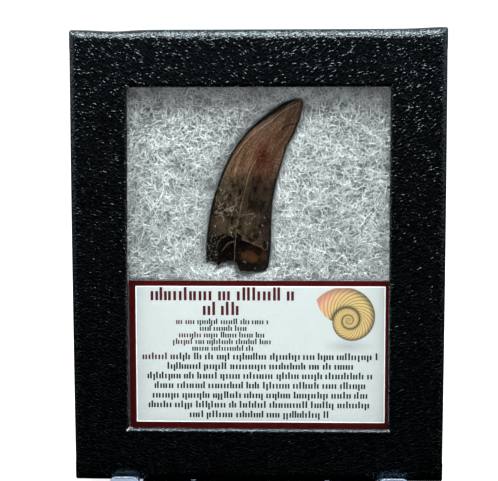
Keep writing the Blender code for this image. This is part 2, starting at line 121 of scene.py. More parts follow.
# The pad of batting, and the fibres that lie on it, in millimetres
PAD_INSET = 3.8
PAD_BACK = 17.25
PAD_STEP = 0.8
PAD_REST = 5.55
PAD_DIP = 3.6
PAD_DIP_WIDTH = 2.1
PAD_BED = 6.2
PAD_EDGE_DROP = 1.3
PAD_EDGE_WIDTH = 2.2
PAD_BACK_ROUND = 1.2
STRAND_NODES = 6
STRANDS_IN_PIECE = 5800

# Where the strands start and how far they may reach, and what keeps them off the tooth and behind the card
STRAND_STARTS_X = (-44.0, 44.0)
STRAND_STARTS_Z = (-8.5, 55.5)
STRAND_LIMIT_X = 47.0
STRAND_LIMIT_Z = 57.0
BESIDE_TOOTH = 0.12
CARD_REACH = -6.4
BEHIND_CARD = 4.95

# Layers of loose fibre: name, seed, longest strand, lift off the pad and radius, in millimetres
SUNKEN_LAYERS = (
    ("deep", 3, 5.0, (0.1, 0.5), (0.06, 0.11)),
    ("low", 4, 5.0, (0.2, 0.8), (0.05, 0.1)),
)
LOOSE_LAYERS = (
    ("middle", 5, 4.5, (0.4, 1.1), (0.05, 0.09)),
    ("top", 8, 6.0, (0.7, 1.5), (0.05, 0.09)),
)

# The steel pins through the long sides
PIN_LENGTH = 12.0 * MM
PIN_POINT = 1.5 * MM
PIN_RADIUS = 0.35 * MM
PIN_HEAD_RADIUS = 0.95 * MM
PIN_HEAD_THICKNESS = 0.45 * MM
PIN_HEAD_STEPS = 5
PIN_HEAD_EDGE = 0.06 * MM
PIN_DEPTH = 11.0 * MM
PIN_HEIGHTS = {"low": 34.0 * MM, "high": 105.0 * MM}

# The tooth: matching points up its two edges, base to tip, in millimetres from the middle of the case
TOOTH_LEFT = (
    (-16.6, -4.3), (-16.4, 3.0), (-15.85, 9.0), (-14.65, 16.0), (-12.5, 23.0), (-9.85, 29.5),
    (-6.3, 35.5), (-1.9, 40.65), (2.45, 44.35), (6.15, 46.95), (8.8, 48.45), (10.9, 49.0), (12.3, 49.1),
)
TOOTH_RIGHT = (
    (3.2, -4.3), (3.95, 3.0), (3.97, 9.5), (4.3, 16.3), (5.35, 22.3), (6.9, 28.0),
    (8.75, 33.9), (10.85, 38.1), (12.3, 41.7), (13.25, 44.9), (13.75, 46.8), (13.85, 48.0), (13.4, 48.8),
)
TOOTH_LENGTH = 54.0
TOOTH_RINGS = 380
TIP_RINGS = 8
TOOTH_FRONT_SIDES = 168
TOOTH_BACK_SIDES = 60
TOOTH_BASE_RATIO = 0.49
TOOTH_TIP_RATIO = 0.65
TOOTH_EDGE_SHARPNESS = 1.12
TOOTH_BASE_MIDDLE = 9.7
TOOTH_TIP_MIDDLE = 8.3
BREAK_BLEND = 6.0
BREAK_HOLLOW = 1.1
BREAK_ROUGHNESS = 0.45

# Where the enamel ends above the base: heights at places across the tooth, and the step down below them
ENAMEL_EDGE = (
    (-16.0, 5.4), (-12.6, 6.7), (-9.5, 7.7), (-6.0, 7.9), (-3.9, 5.4), (-2.0, 4.5), (0.0, 3.5), (1.5, 2.4),
    (3.3, 3.0),
)
ENAMEL_STEP = 0.35

# Lines and spots on the front of the tooth, in millimetres from the middle of the case. A rubbed part has its
# middle, its reach and a count of scratches, a stain its middle, width and height, and a spot its size.
LONG_CRACK = ((-0.7, 30.3), (-1.85, 28.3), (-2.95, 25.7), (-3.5, 23.1), (-4.25, 20.5), (-5.2, 16.7))
BASE_CRACK = ((-5.2, 16.7), (-5.7, 14.1), (-6.3, 11.9), (-6.65, 9.3), (-7.1, 4.8), (-7.4, -0.9))
SIDE_CRACK = ((4.8, 35.0), (3.7, 31.3), (2.6, 28.3), (2.1, 24.0))
TIP_CRACK = ((12.1, 41.65), (10.0, 41.4), (8.35, 40.8), (7.6, 40.2))
# The next two lines are painted highlights: pale streaks where the light catches the tooth near its tip and
# down its curved left side.
TIP_PAINTED_HIGHLIGHT = ((3.7, 42.1), (5.2, 43.6), (7.4, 45.3), (9.6, 46.6), (12.2, 47.9))
LEFT_PAINTED_HIGHLIGHT = (
    (3.7, 42.1), (-0.4, 39.6), (-4.2, 35.9), (-7.2, 32.0), (-9.3, 28.2), (-11.0, 24.4), (-12.0, 21.5),
)
SCRATCHES = (
    ((-12.4, 17.9), (-11.6, 16.7), (-10.9, 16.3)), ((-11.0, 15.9), (-12.2, 15.2), (-13.2, 14.5)),
    ((-13.5, 13.8), (-12.2, 14.0), (-11.4, 14.5)), ((-13.1, 12.9), (-11.4, 13.4), (-11.6, 14.0)),
    ((-10.5, 15.1), (-9.3, 15.5), (-7.6, 16.2), (-7.0, 16.4)), ((-8.6, 14.9), (-7.0, 15.1), (-5.6, 13.8)),
    ((-5.6, 13.8), (-3.3, 13.6), (-1.2, 14.0)), ((-7.4, 16.0), (-7.9, 14.6), (-8.2, 12.8)),
    ((-12.6, 19.9), (-13.1, 18.6), (-12.8, 17.5)), ((-9.6, 17.3), (-9.2, 16.2)),
)
SCRATCH_SEED = 41
SIDE_GOUGE = ((-14.9, -2.4), (-14.5, 0.6))
RUBBED_PARTS = ((-9.5, 15.5, 2.4, 1.6, 26), (-11.5, 22.0, 1.2, 3.0, 10), (-6.0, 9.0, 3.5, 2.0, 10))
ENAMEL_LINE = ((-5.2, 6.2), (-3.3, 5.3), (-1.3, 4.7), (0.0, 4.0), (1.15, 3.6))
ENAMEL_HOOK = ((1.15, 3.6), (1.5, 2.6), (2.6, 2.45), (3.0, 3.2), (2.8, 5.1))
ENAMEL_LIMB = ((-13.0, 2.9), (-12.4, 5.0), (-11.1, 6.6), (-9.2, 7.5), (-7.0, 7.0))
DENTINE_LINE = ((-11.1, 2.5), (-9.3, 4.75), (-7.5, 5.3))
PALE_SPOTS = (
    (1.35, 10.2, 0.28), (-8.3, 8.1, 0.3), (-4.4, -1.0, 0.2), (-3.9, -1.2, 0.2), (-1.0, -3.2, 0.22),
    (-13.4, 9.9, 0.25), (-11.5, 21.2, 0.25), (2.0, 12.6, 0.18), (-2.6, 10.9, 0.2), (0.6, 8.1, 0.2),
)
RED_STAIN = ((1.6, 31.5), 3.6, 7.0)
HIGH_RED_STAIN = ((6.6, 38.5), 2.4, 3.0)
TAN_STAINS = (((-11.3, 10.6), 2.2, 1.9), ((-2.6, 11.8), 0.9, 2.2))
HIGH_TAN_STAIN = ((-10.4, 23.2), 2.0, 3.2)
AMBER_STAINS = (((-3.1, 0.9), 2.6, 1.6), ((1.9, 0.6), 1.0, 1.6), ((-1.3, -0.6), 1.2, 1.0))
ORANGE_SPOTS = ((-3.8, 0.45, 0.32), (-1.9, -1.2, 0.36))

# The card's finishes in order, and its areas as (left, low, right, high), in millimetres about the middle of
# the case, with the shell in its picture
CARD_PAPER, CARD_INK, CARD_RED_INK, CARD_RED, CARD_WHITE, CARD_PICTURE = range(6)
RED_INSIDE = (-38.2, -51.6, 39.5, -8.55)
WHITE_INSIDE = (-37.9, -51.3, 39.2, -8.85)
PICTURE = (15.7, -29.4, 38.6, -9.1)
PICTURE_CENTRE = (28.2, -19.2)
SHELL_RADIUS = 7.9
SHELL_GROWTH = 2.35
SHELL_RIBS = 26
SHELL_SHADOW_DROP = 8.1

# Lines of print: middle height, left and right end, height of the plain strokes, and how far from the left
# they are red
PRINT_LINES = (
    (-11.6, -33.5, 11.7, 2.9, 60.0), (-16.2, -17.2, -4.8, 2.9, 60.0),
    (-19.9, -25.6, 3.5, 1.25, 5.2), (-22.0, -18.2, -3.6, 1.25, 0.0), (-24.1, -24.7, 2.3, 1.25, 8.3),
    (-26.2, -26.6, 4.4, 1.25, 10.6), (-28.3, -20.6, -1.5, 1.25, 0.0),
    (-30.95, -36.2, 37.4, 1.5, 8.8), (-34.0, -28.4, 29.6, 1.5, 0.0), (-37.05, -34.7, 35.8, 1.5, 0.0),
    (-40.1, -32.5, 33.6, 1.5, 0.0), (-43.2, -33.1, 34.2, 1.5, 0.0), (-46.25, -34.4, 35.5, 1.5, 0.0),
    (-49.35, -21.5, 22.5, 1.5, 0.0),
)

# Strokes of print: the seed of their lengths, how far high and low ones reach in plain heights, the height
# past which the type is narrower, and a whole number of millimetres that no stroke is taller than
PRINT_SEED = 29
HIGH_STROKE = 1.45
LOW_STROKE = -0.4
LARGE_PRINT = 2.0
TALLEST_STROKE = 5

# The easel, one bent sheet
SHEET = 3.0 * MM
SHEET_EDGE = 0.35 * MM
LIP_SPACING = 83.6 * MM
LIP_WIDTH = 9.4 * MM
LIP_ABOVE_EDGE = 2.35 * MM
LIP_GAP = 0.4 * MM
LIP_CORNER = 2.2 * MM
BEND_RADIUS = 2.6 * MM
BEND_STEPS = 18
PRONG_END = 11.0 * MM
TONGUE_WIDTH = 42.0 * MM
TONGUE_LENGTH = 50.0 * MM
TONGUE_SLOT = 1.2 * MM
TONGUE_ROOT = 2.0 * MM
REAR_BAR = 10.0 * MM
EASEL_OFFSET = 0.27 * MM
PLATE_CORNER = 4.0 * MM
TONGUE_CORNER = 7.0 * MM

CASE_FOOT = SHEET + GAP + LID_DEPTH * math.sin(CASE_LEAN)
LIP_TURN = math.pi / 2 + CASE_LEAN
LIP_LINE = LIP_GAP + SHEET / 2
LIP_RISE = CASE_FOOT - SHEET / 2 + LIP_LINE * math.sin(CASE_LEAN)
LIP_TANGENT = BEND_RADIUS * math.tan(LIP_TURN / 2)
LIP_STRAIGHT = LIP_RISE / math.cos(CASE_LEAN) + LIP_ABOVE_EDGE - LIP_TANGENT
LIP_BEND_LINE = LIP_TANGENT - LIP_LINE * math.cos(CASE_LEAN) - LIP_RISE * math.tan(CASE_LEAN)
LIP_FRONT = LIP_BEND_LINE - BEND_RADIUS - SHEET / 2
TONGUE_TURN = math.pi / 2 - CASE_LEAN
TONGUE_LINE = CASE_DEPTH + GAP + SHEET / 2
TONGUE_DROP = CASE_FOOT - SHEET / 2 - TONGUE_LINE * math.sin(CASE_LEAN)
TONGUE_BEND_LINE = (
    TONGUE_LINE * math.cos(CASE_LEAN) - TONGUE_DROP * math.tan(CASE_LEAN)
    - BEND_RADIUS * math.tan(TONGUE_TURN / 2)
)
EASEL_REAR = TONGUE_BEND_LINE + TONGUE_LENGTH + BEND_RADIUS + REAR_BAR
SHIFT_BACK = -(LIP_FRONT + EASEL_REAR) / 2

# From the case's own frame to the world
CASE = Matrix.Translation((0, SHIFT_BACK, CASE_FOOT)) @ Matrix.Rotation(-CASE_LEAN, 4, "X")

# The camera, in the case's frame
CAMERA_PLACE = Vector((11.3, -397.2, 116.66)) * MM
CAMERA_AIM = Vector((-2.64, 0.0, 75.94)) * MM
CAMERA_ROLL = math.radians(-0.12)
CAMERA_FOCUS_PIXELS = 1303.3

# The stage: glow of the floor, strength of the surround from above and from beside, and the place, aim, size,
# watts and colour of the lamp overhead and of the two at the sides
FLOOR_GLOW = 0.85
SKY_STRENGTH = 0.17
SIDE_STRENGTH = 0.9
KEY_PLACE = (-0.04, -0.1, 0.5)
KEY_AIM = (-0.04, -0.1, 0.0)
KEY_SIZE = (0.74, 0.14)
KEY_WATTS = 5.4
KEY_COLOUR = (0.96, 1.0, 1.0)
SIDE_PLACE = (0.32, -0.4, 0.66)
SIDE_AIM = (0.0, 0.0, 0.07)
SIDE_SIZE = (0.22, 0.34)
SIDE_WATTS = 0.25
SIDE_COLOUR = (0.84, 0.95, 1.0)


# Meshes


def add_piece(name, shape, *materials):
    """A finished bmesh, in world metres, as one object of the scene."""
    mesh = bpy.data.meshes.new(name)
    shape.to_mesh(mesh)
    shape.free()
    piece = bpy.data.objects.new(name, mesh)
    bpy.context.scene.collection.objects.link(piece)
    for material in materials:
        mesh.materials.append(material)
    return piece


def fit(piece, slot_name, *nodes):
    """Sets a piece on the part's one body and hides the CAD nodes that it stands for. The slot name is not
    used.
    """
    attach(piece, "root")
    if nodes:
        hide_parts(*nodes)
    return piece


def into_world(shape):
    bmesh.ops.transform(shape, matrix=CASE, verts=shape.verts)
    return shape


def millimetres_into_world(shape):
    """From millimetres about the middle of the case to world metres."""
    place = CASE @ Matrix.Translation((0, 0, MID_HEIGHT)) @ Matrix.Scale(MM, 4)
    bmesh.ops.transform(shape, matrix=place, verts=shape.verts)
    return shape


def shade_round(piece, angle=35.0):
    piece.data.shade_smooth()
    piece.data.set_sharp_from_angle(angle=math.radians(angle))


def block(low, high):
    """A bmesh cube from its lowest to its highest corner."""
    shape = bmesh.new()
    bmesh.ops.create_cube(shape, size=1.0)
    low, high = Vector(low), Vector(high)
    bmesh.ops.scale(shape, vec=high - low, verts=shape.verts)
    bmesh.ops.translate(shape, vec=(low + high) / 2, verts=shape.verts)
    return shape


def round_edges(shape, edges, radius, steps):
    bmesh.ops.bevel(
        shape, geom=edges, offset=radius, offset_type="OFFSET", affect="EDGES",
        segments=steps, profile=0.5, material=-1,
    )


def shaped_grid(places, layers=None):
    """A grid of quads whose points are the given rows, with values stored on them."""
    rows, columns = places.shape[:2]
    shape = bmesh.new()
    bmesh.ops.create_grid(shape, x_segments=columns - 1, y_segments=rows - 1, size=1.0)
    flat = places.reshape(-1, 3)
    for vert, place in zip(shape.verts, flat):
        vert.co = place
    for name, values in (layers or {}).items():
        layer = shape.verts.layers.float.new(name)
        for vert, value in zip(shape.verts, values.reshape(-1)):
            vert[layer] = value
    return shape


def close_seams(shape, distance):
    """Welds a bent grid where its sides meet, and turns its faces outwards."""
    bmesh.ops.remove_doubles(shape, verts=shape.verts, dist=distance)
    bmesh.ops.recalc_face_normals(shape, faces=shape.faces)
    return shape


def ease(low, high, value):
    """0 below low, 1 above high, smooth between."""
    u = np.clip((value - low) / (high - low), 0.0, 1.0)
    return u * u * (3 - 2 * u)


def bump(middle, width, value):
    return np.exp(-((value - middle) / width) ** 2)


def laid_flat(first, second):
    """Places in a plane, for a noise that doesn't change across it."""
    return np.stack((first, second, 0 * first), axis=-1)


def roughness(places, scale, seed):
    """Smooth noise from -1 to 1 at each place of an array of points."""
    offset = Vector((seed * 7.3, seed * 3.1, seed * 5.7))
    flat = places.reshape(-1, 3)
    values = [noise.noise(Vector(place) * scale + offset) for place in flat]
    return np.array(values).reshape(places.shape[:-1])


# Node trees


def new_material(name, colour, rough, metallic=0.0, specular=0.5):
    """A material with one principled shader, as (material, node tree, shader)."""
    material = bpy.data.materials.new(name)
    material.use_nodes = True
    tree = material.node_tree
    shader = tree.nodes["Principled BSDF"]
    shader.inputs["Base Color"].default_value = (*colour, 1.0)
    shader.inputs["Roughness"].default_value = rough
    shader.inputs["Metallic"].default_value = metallic
    shader.inputs["Specular IOR Level"].default_value = specular
    return material, tree, shader


def node(tree, kind, inputs=None, **settings):
    """A node with its settings. Each input is a value, or the output of another node."""
    made = tree.nodes.new(kind)
    for name, value in settings.items():
        setattr(made, name, value)
    for name, value in (inputs or {}).items():
        if isinstance(value, bpy.types.NodeSocket):
            tree.links.new(value, made.inputs[name])
        else:
            made.inputs[name].default_value = value
    return made


def sum_of(tree, operation, first, second=0.0, third=0.0):
    """One step of arithmetic on values that change over the surface."""
    return node(tree, "ShaderNodeMath", {0: first, 1: second, 2: third}, operation=operation).outputs[0]


def blend_colour(tree, share, first, second, mode="MIX"):
    """A mix of two colours; each is a socket or an (r, g, b)."""
    mix = node(tree, "ShaderNodeMix", data_type="RGBA", blend_type=mode)
    for index, value in ((0, share), (6, first), (7, second)):
        if isinstance(value, bpy.types.NodeSocket):
            tree.links.new(value, mix.inputs[index])
        elif index:
            mix.inputs[index].default_value = (*value, 1.0)
        else:
            mix.inputs[index].default_value = value
    return mix.outputs[2]


def spread(tree, value, low, high, start=0.0, end=1.0):
    """A value between low and high spread over start to end, and held at the ends."""
    inputs = {"Value": value, "From Min": low, "From Max": high, "To Min": start, "To Max": end}
    return node(tree, "ShaderNodeMapRange", inputs).outputs[0]


def object_place(tree):
    return node(tree, "ShaderNodeTexCoord").outputs["Object"]


def stored(tree, name):
    return node(tree, "ShaderNodeAttribute", attribute_name=name, attribute_type="GEOMETRY").outputs["Fac"]


def noise_value(tree, place, scale, detail=3.0, rough=0.55):
    inputs = {"Vector": place, "Scale": scale, "Detail": detail, "Roughness": rough}
    return node(tree, "ShaderNodeTexNoise", inputs).outputs[0]


def set_relief(tree, shader, height, depth):
    """Relief of a depth in metres on a shader's normal."""
    relief = node(tree, "ShaderNodeBump", {"Height": height, "Distance": depth, "Strength": 1.0})
    tree.links.new(relief.outputs[0], shader.inputs["Normal"])


def grey(tree, value):
    """A colour with the same value in all three parts."""
    return node(tree, "ShaderNodeCombineColor", {0: value, 1: value, 2: value}).outputs[0]


def new_group(name, inputs, outputs):
    """A shader node group with named sockets, and the ends that its nodes are wired between."""
    tree = bpy.data.node_groups.new(name, "ShaderNodeTree")
    for side, sockets in (("INPUT", inputs), ("OUTPUT", outputs)):
        for socket, kind in sockets.items():
            tree.interface.new_socket(socket, in_out=side, socket_type="NodeSocket" + kind)
    return tree, tree.nodes.new("NodeGroupInput").outputs, tree.nodes.new("NodeGroupOutput").inputs


def placed(tree, group, inputs):
    """The outputs of a group that is placed in a material with its own values."""
    return node(tree, "ShaderNodeGroup", inputs, node_tree=group).outputs


def leather_paper_group():
    """Black paper pressed with short broken wrinkles, most of them slanting to the middle."""
    outputs = {"Height": "Float", "Tint": "Color", "Shine": "Float"}
    tree, given, out = new_group("pressed_leather_paper", {"Place": "Vector"}, outputs)
    parts = node(tree, "ShaderNodeSeparateXYZ", {0: given["Place"]})
    right_half = sum_of(tree, "GREATER_THAN", parts.outputs[0], 0.0)
    halves = node(tree, "ShaderNodeCombineXYZ", {
        0: sum_of(tree, "ABSOLUTE", parts.outputs[0]),
        1: sum_of(tree, "MULTIPLY_ADD", right_half, 0.37, parts.outputs[1]),
        2: parts.outputs[2],
    }).outputs[0]
    slant = {"Vector": halves, "Rotation": (0.0, math.pi / 4, 0.0), "Scale": (1.0, 1.0, 1.4)}
    place = node(tree, "ShaderNodeMapping", slant, vector_type="TEXTURE").outputs[0]
    warp = node(tree, "ShaderNodeTexNoise", {"Vector": place, "Scale": 700.0, "Detail": 2.0})
    shift = node(
        tree, "ShaderNodeVectorMath", {0: warp.outputs[1], 1: (0.0007, 0.0007, 0.0007), 2: place},
        operation="MULTIPLY_ADD",
    )
    cells = node(
        tree, "ShaderNodeTexVoronoi", {"Vector": shift.outputs[0], "Scale": 1100.0, "Randomness": 1.0},
        feature="DISTANCE_TO_EDGE",
    )
    wall = {"Value": cells.outputs["Distance"], "From Min": 0.0, "From Max": 0.27}
    pebble = node(tree, "ShaderNodeMapRange", wall, interpolation_type="SMOOTHSTEP").outputs[0]
    broken = spread(tree, noise_value(tree, place, 900.0, 1.0, 0.5), 0.38, 0.6, 0.42, 1.0)
    fine = noise_value(tree, place, 1500.0, 1.0, 0.5)
    height = sum_of(tree, "MULTIPLY_ADD", fine, 0.1, sum_of(tree, "MULTIPLY", pebble, broken))
    cloud = spread(tree, noise_value(tree, given["Place"], 60.0, 2.0, 0.5), 0.35, 0.65)
    tree.links.new(height, out["Height"])
    tree.links.new(blend_colour(tree, cloud, (0.0003, 0.0004, 0.0005), (0.0007, 0.0009, 0.0011)), out["Tint"])
    tree.links.new(noise_value(tree, given["Place"], 900.0, 2.0, 0.5), out["Shine"])
    return tree


def fibre_tone_group():
    """The uneven tone of spun fibre: slow changes over the pad, and a value of each strand's own."""
    tree, given, out = new_group("spun_fibre_tone", {"Place": "Vector", "Strand": "Float"}, {"Tone": "Float"})
    tone = sum_of(tree, "ADD", noise_value(tree, given["Place"], 240.0, 3.0, 0.6), given["Strand"])
    tree.links.new(spread(tree, tone, 0.5, 1.25), out["Tone"])
    return tree


def paper_mottle_group():
    """The faint mottle of coated paper, which shows in its inks too."""
    tree, given, out = new_group("coated_paper_mottle", {"Place": "Vector"}, {"Mottle": "Float"})
    mottle = noise_value(tree, given["Place"], 1400.0, 3.0, 0.6)
    tree.links.new(spread(tree, mottle, 0.3, 0.7), out["Mottle"])
    return tree


def haze_group():
    """Faint smears on a clear sheet, as a roughness from its least to its most."""
    names = ("Scale", "Detail", "Start", "Least", "Most")
    inputs = {"Place": "Vector"} | {name: "Float" for name in names}
    tree, given, out = new_group("faint_haze", inputs, {"Roughness": "Float"})
    cloud = noise_value(tree, given["Place"], given["Scale"], given["Detail"], 0.6)
    tree.links.new(spread(tree, cloud, given["Start"], 0.8, given["Least"], given["Most"]), out["Roughness"])
    return tree


def wrapping_paper(name, paper_group, grain_depth, rough):
    """Black paper pressed with a leather grain, which is flatter where the paper is pulled over an edge."""
    material, tree, shader = new_material(name, (0.004, 0.005, 0.006), rough, specular=0.6)
    paper = placed(tree, paper_group, {"Place": object_place(tree)})
    tree.links.new(paper["Tint"], shader.inputs["Base Color"])
    shine = sum_of(tree, "MULTIPLY_ADD", paper["Shine"], 0.08, rough - 0.04)
    tree.links.new(shine, shader.inputs["Roughness"])
    shader.inputs["Specular Tint"].default_value = (0.8, 0.93, 1.0, 1.0)
    flattened = sum_of(tree, "MULTIPLY_ADD", stored(tree, "pulled"), PULLED_GRAIN - 1, 1.0)
    relief = sum_of(tree, "MULTIPLY", paper["Height"], flattened)
    set_relief(tree, shader, relief, grain_depth)
    return material


def bare_board():
    """Torn grey-pink board where the wrapping has parted."""
    material, tree, shader = new_material("bare_board", (0.55, 0.45, 0.43), 0.8)
    fibre = noise_value(tree, object_place(tree), 4000.0, 3.0, 0.6)
    tint = blend_colour(tree, fibre, (0.42, 0.35, 0.335), (0.75, 0.66, 0.63))
    tree.links.new(tint, shader.inputs["Base Color"])
    set_relief(tree, shader, fibre, 0.00008)
    return material


def pass_light(tree, shader, colour):
    """Shadow rays go straight through, taking a colour."""
    straight = node(tree, "ShaderNodeBsdfTransparent", {"Color": colour})
    path = node(tree, "ShaderNodeLightPath")
    inputs = {0: path.outputs["Is Shadow Ray"], 1: shader.outputs[0], 2: straight.outputs[0]}
    both = node(tree, "ShaderNodeMixShader", inputs)
    tree.links.new(both.outputs[0], tree.nodes["Material Output"].inputs["Surface"])


def clear_sheet(name, colour, refraction, haze, smears, shadow):
    """A clear material with faint smears, which lets the light through to what lies behind it."""
    material, tree, shader = new_material(name, colour, smears["Least"])
    shader.inputs["Transmission Weight"].default_value = 1.0
    shader.inputs["IOR"].default_value = refraction
    rough = placed(tree, haze, {"Place": object_place(tree)} | smears)["Roughness"]
    tree.links.new(rough, shader.inputs["Roughness"])
    pass_light(tree, shader, (*shadow, 1.0))
    return material


def window_glass(haze):
    """The pane's glass, nearly without smears."""
    smears = {"Scale": 35.0, "Detail": 4.0, "Start": 0.5, "Least": 0.0, "Most": 0.02}
    return clear_sheet("window_glass", (0.985, 0.995, 0.992), 1.5, haze, smears, (0.93, 0.955, 0.95))


def clear_acrylic(haze):
    """The easel's sheet, with a blue tinge where it is looked through edgeways."""
    smears = {"Scale": 90.0, "Detail": 3.0, "Start": 0.45, "Least": 0.01, "Most": 0.06}
    material = clear_sheet("clear_acrylic", (0.93, 0.97, 1.0), 1.49, haze, smears, (0.85, 0.92, 0.97))
    tree = material.node_tree
    inside = node(tree, "ShaderNodeVolumeAbsorption", {"Color": (0.15, 0.4, 0.72, 1.0), "Density": 80.0})
    tree.links.new(inside.outputs[0], tree.nodes["Material Output"].inputs["Volume"])
    return material


def white_fibre(name, tone_group, dark, light, rough):
    """Spun white fibre, a little uneven in tone, with some fibres brighter than others."""
    material, tree, shader = new_material(name, light, rough, specular=0.3)
    tone = placed(tree, tone_group, {"Place": object_place(tree), "Strand": stored(tree, "tone")})["Tone"]
    tree.links.new(blend_colour(tree, tone, dark, light), shader.inputs["Base Color"])
    return material


def pin_steel():
    """Steel with fine turned scratches."""
    material, tree, shader = new_material("pin_steel", (0.62, 0.62, 0.61), 0.28, 1.0)
    scratch = noise_value(tree, object_place(tree), 6000.0, 2.0, 0.5)
    tree.links.new(spread(tree, scratch, 0.3, 0.7, 0.18, 0.4), shader.inputs["Roughness"])
    set_relief(tree, shader, scratch, 0.00001)
    return material


def fossil_tooth():
    """Brown enamel with lengthwise streaks, pale scratches, painted highlight streaks, painted shade at its
    sides, and dark dentine where it has broken away.
    """
    material, tree, shader = new_material("fossil_enamel", (0.12, 0.07, 0.045), 0.3, specular=0.25)
    around = node(tree, "ShaderNodeCombineXYZ", {
        0: stored(tree, "round_x"), 1: stored(tree, "round_y"), 2: stored(tree, "along"),
    }).outputs[0]
    place = object_place(tree)
    stretched = node(tree, "ShaderNodeMapping", {"Vector": around, "Scale": (26.0, 26.0, 0.3)}).outputs[0]
    streak = noise_value(tree, stretched, 1.0, 4.0, 0.7)
    broad = node(tree, "ShaderNodeMapping", {"Vector": around, "Scale": (4.0, 4.0, 0.16)}).outputs[0]
    band = noise_value(tree, broad, 1.0, 3.0, 0.6)
    speckle = noise_value(tree, place, 2600.0, 3.0, 0.65)
    blotch = noise_value(tree, place, 420.0, 4.0, 0.6)

    upper = blend_colour(tree, spread(tree, band, 0.35, 0.65), (0.05, 0.021, 0.01), (0.135, 0.08, 0.047))
    lower = blend_colour(tree, spread(tree, blotch, 0.38, 0.66), (0.008, 0.004, 0.002), (0.042, 0.026, 0.014))
    colour = blend_colour(tree, stored(tree, "low"), upper, lower)
    colour = blend_colour(tree, stored(tree, "red"), colour, (0.04, 0.009, 0.003))
    streaks = grey(tree, spread(tree, streak, 0.36, 0.64, 0.4, 1.65))
    colour = blend_colour(tree, 1.0, colour, streaks, "MULTIPLY")
    specks = grey(tree, spread(tree, speckle, 0.35, 0.65, 0.5, 1.5))
    colour = blend_colour(tree, 1.0, colour, specks, "MULTIPLY")
    colour = blend_colour(tree, stored(tree, "tan"), colour, (0.08, 0.057, 0.035))
    patches = spread(tree, blotch, 0.3, 0.7)
    dentine = blend_colour(tree, patches, (0.0003, 0.0002, 0.0001), (0.004, 0.0013, 0.0006))
    colour = blend_colour(tree, stored(tree, "dentine"), colour, dentine)
    amber = blend_colour(tree, spread(tree, blotch, 0.35, 0.6), (0.012, 0.004, 0.0015), (0.055, 0.02, 0.006))
    colour = blend_colour(tree, stored(tree, "amber"), colour, amber)
    # The dark mask holds real cracks and a dark band, and also painted shade along the tooth's sides.
    colour = blend_colour(tree, stored(tree, "dark"), colour, (0.005, 0.003, 0.0025))
    # The pale mask holds real scratches and specks, and also painted highlights near the tip and down the
    # left side.
    colour = blend_colour(tree, stored(tree, "pale"), colour, (0.4, 0.33, 0.24))
    tree.links.new(colour, shader.inputs["Base Color"])
    gloss = spread(tree, speckle, 0.3, 0.7, 0.2, 0.3)
    tree.links.new(sum_of(tree, "MULTIPLY_ADD", stored(tree, "pale"), 0.3, gloss), shader.inputs["Roughness"])
    relief = sum_of(tree, "MULTIPLY_ADD", streak, 0.8, sum_of(tree, "MULTIPLY", speckle, 0.5))
    set_relief(tree, shader, relief, 0.00006)
    return material


def printed(name, mottle_group, dark, light):
    """Ink or bare stock on the card: an even colour with the faint mottle of coated paper."""
    material, tree, shader = new_material(name, light, 0.35, specular=0.12)
    mottle = placed(tree, mottle_group, {"Place": object_place(tree)})["Mottle"]
    tree.links.new(blend_colour(tree, mottle, dark, light), shader.inputs["Base Color"])
    return material


def shell_print():
    """A coiled shell in ochre and brown, with a soft grey shadow under it, on the card's white."""
    material, tree, shader = new_material("shell_print", (0.8, 0.8, 0.8), 0.42, specular=0.3)
    place = node(tree, "ShaderNodeUVMap", uv_map="print").outputs[0]
    parts = node(tree, "ShaderNodeSeparateXYZ", {0: place})
    x, y = parts.outputs[0], parts.outputs[1]
    radius = node(tree, "ShaderNodeVectorMath", {0: place}, operation="LENGTH").outputs[1]
    leaning = sum_of(tree, "MULTIPLY_ADD", radius, 0.09, -0.5)
    tilted = node(tree, "ShaderNodeVectorRotate", {"Vector": place, "Axis": (0.0, 0.0, 1.0)})
    tree.links.new(leaning, tilted.inputs["Angle"])
    spun = node(tree, "ShaderNodeSeparateXYZ", {0: tilted.outputs[0]})
    turn = sum_of(tree, "DIVIDE", sum_of(tree, "ARCTAN2", spun.outputs[1], spun.outputs[0]), math.tau)
    grown = sum_of(tree, "LOGARITHM", sum_of(tree, "DIVIDE", radius, SHELL_RADIUS), math.e)
    whorl = sum_of(tree, "SUBTRACT", sum_of(tree, "DIVIDE", grown, math.log(SHELL_GROWTH)), turn)
    across = sum_of(tree, "FRACT", sum_of(tree, "ADD", whorl, 20.0))
    body = sum_of(tree, "SINE", sum_of(tree, "MULTIPLY", across, math.pi))
    inside = spread(tree, whorl, 0.0, -0.03)
    rib_turn = sum_of(tree, "MULTIPLY_ADD", across, 0.12, turn)
    ribs = sum_of(tree, "SINE", sum_of(tree, "MULTIPLY", rib_turn, math.tau * SHELL_RIBS))
    fleck = noise_value(tree, place, 1.6, 4.0, 0.6)
    ochre = blend_colour(tree, fleck, (0.42, 0.27, 0.07), (0.62, 0.5, 0.23))
    colour = blend_colour(tree, spread(tree, ribs, -0.2, 0.9, 0.0, 0.75), ochre, (0.2, 0.1, 0.05))
    colour = blend_colour(tree, spread(tree, body, 0.75, 0.0), colour, (0.03, 0.025, 0.022))
    blush = sum_of(tree, "MULTIPLY", spread(tree, whorl, -0.8, -0.2), spread(tree, turn, 0.22, 0.5))
    colour = blend_colour(tree, sum_of(tree, "MULTIPLY", blush, 0.6), colour, (0.62, 0.25, 0.2))
    low = sum_of(tree, "MULTIPLY", sum_of(tree, "ADD", y, SHELL_SHADOW_DROP), 3.4)
    below = node(tree, "ShaderNodeCombineXYZ", {0: x, 1: low}).outputs[0]
    reach = node(tree, "ShaderNodeVectorMath", {0: below}, operation="LENGTH").outputs[1]
    shade = spread(tree, reach, 8.5, 1.0, 0.0, 0.45)
    ground = blend_colour(tree, shade, (0.462, 0.484, 0.48), (0.2, 0.21, 0.215))
    tree.links.new(blend_colour(tree, inside, ground, colour), shader.inputs["Base Color"])
    return material


# The lid


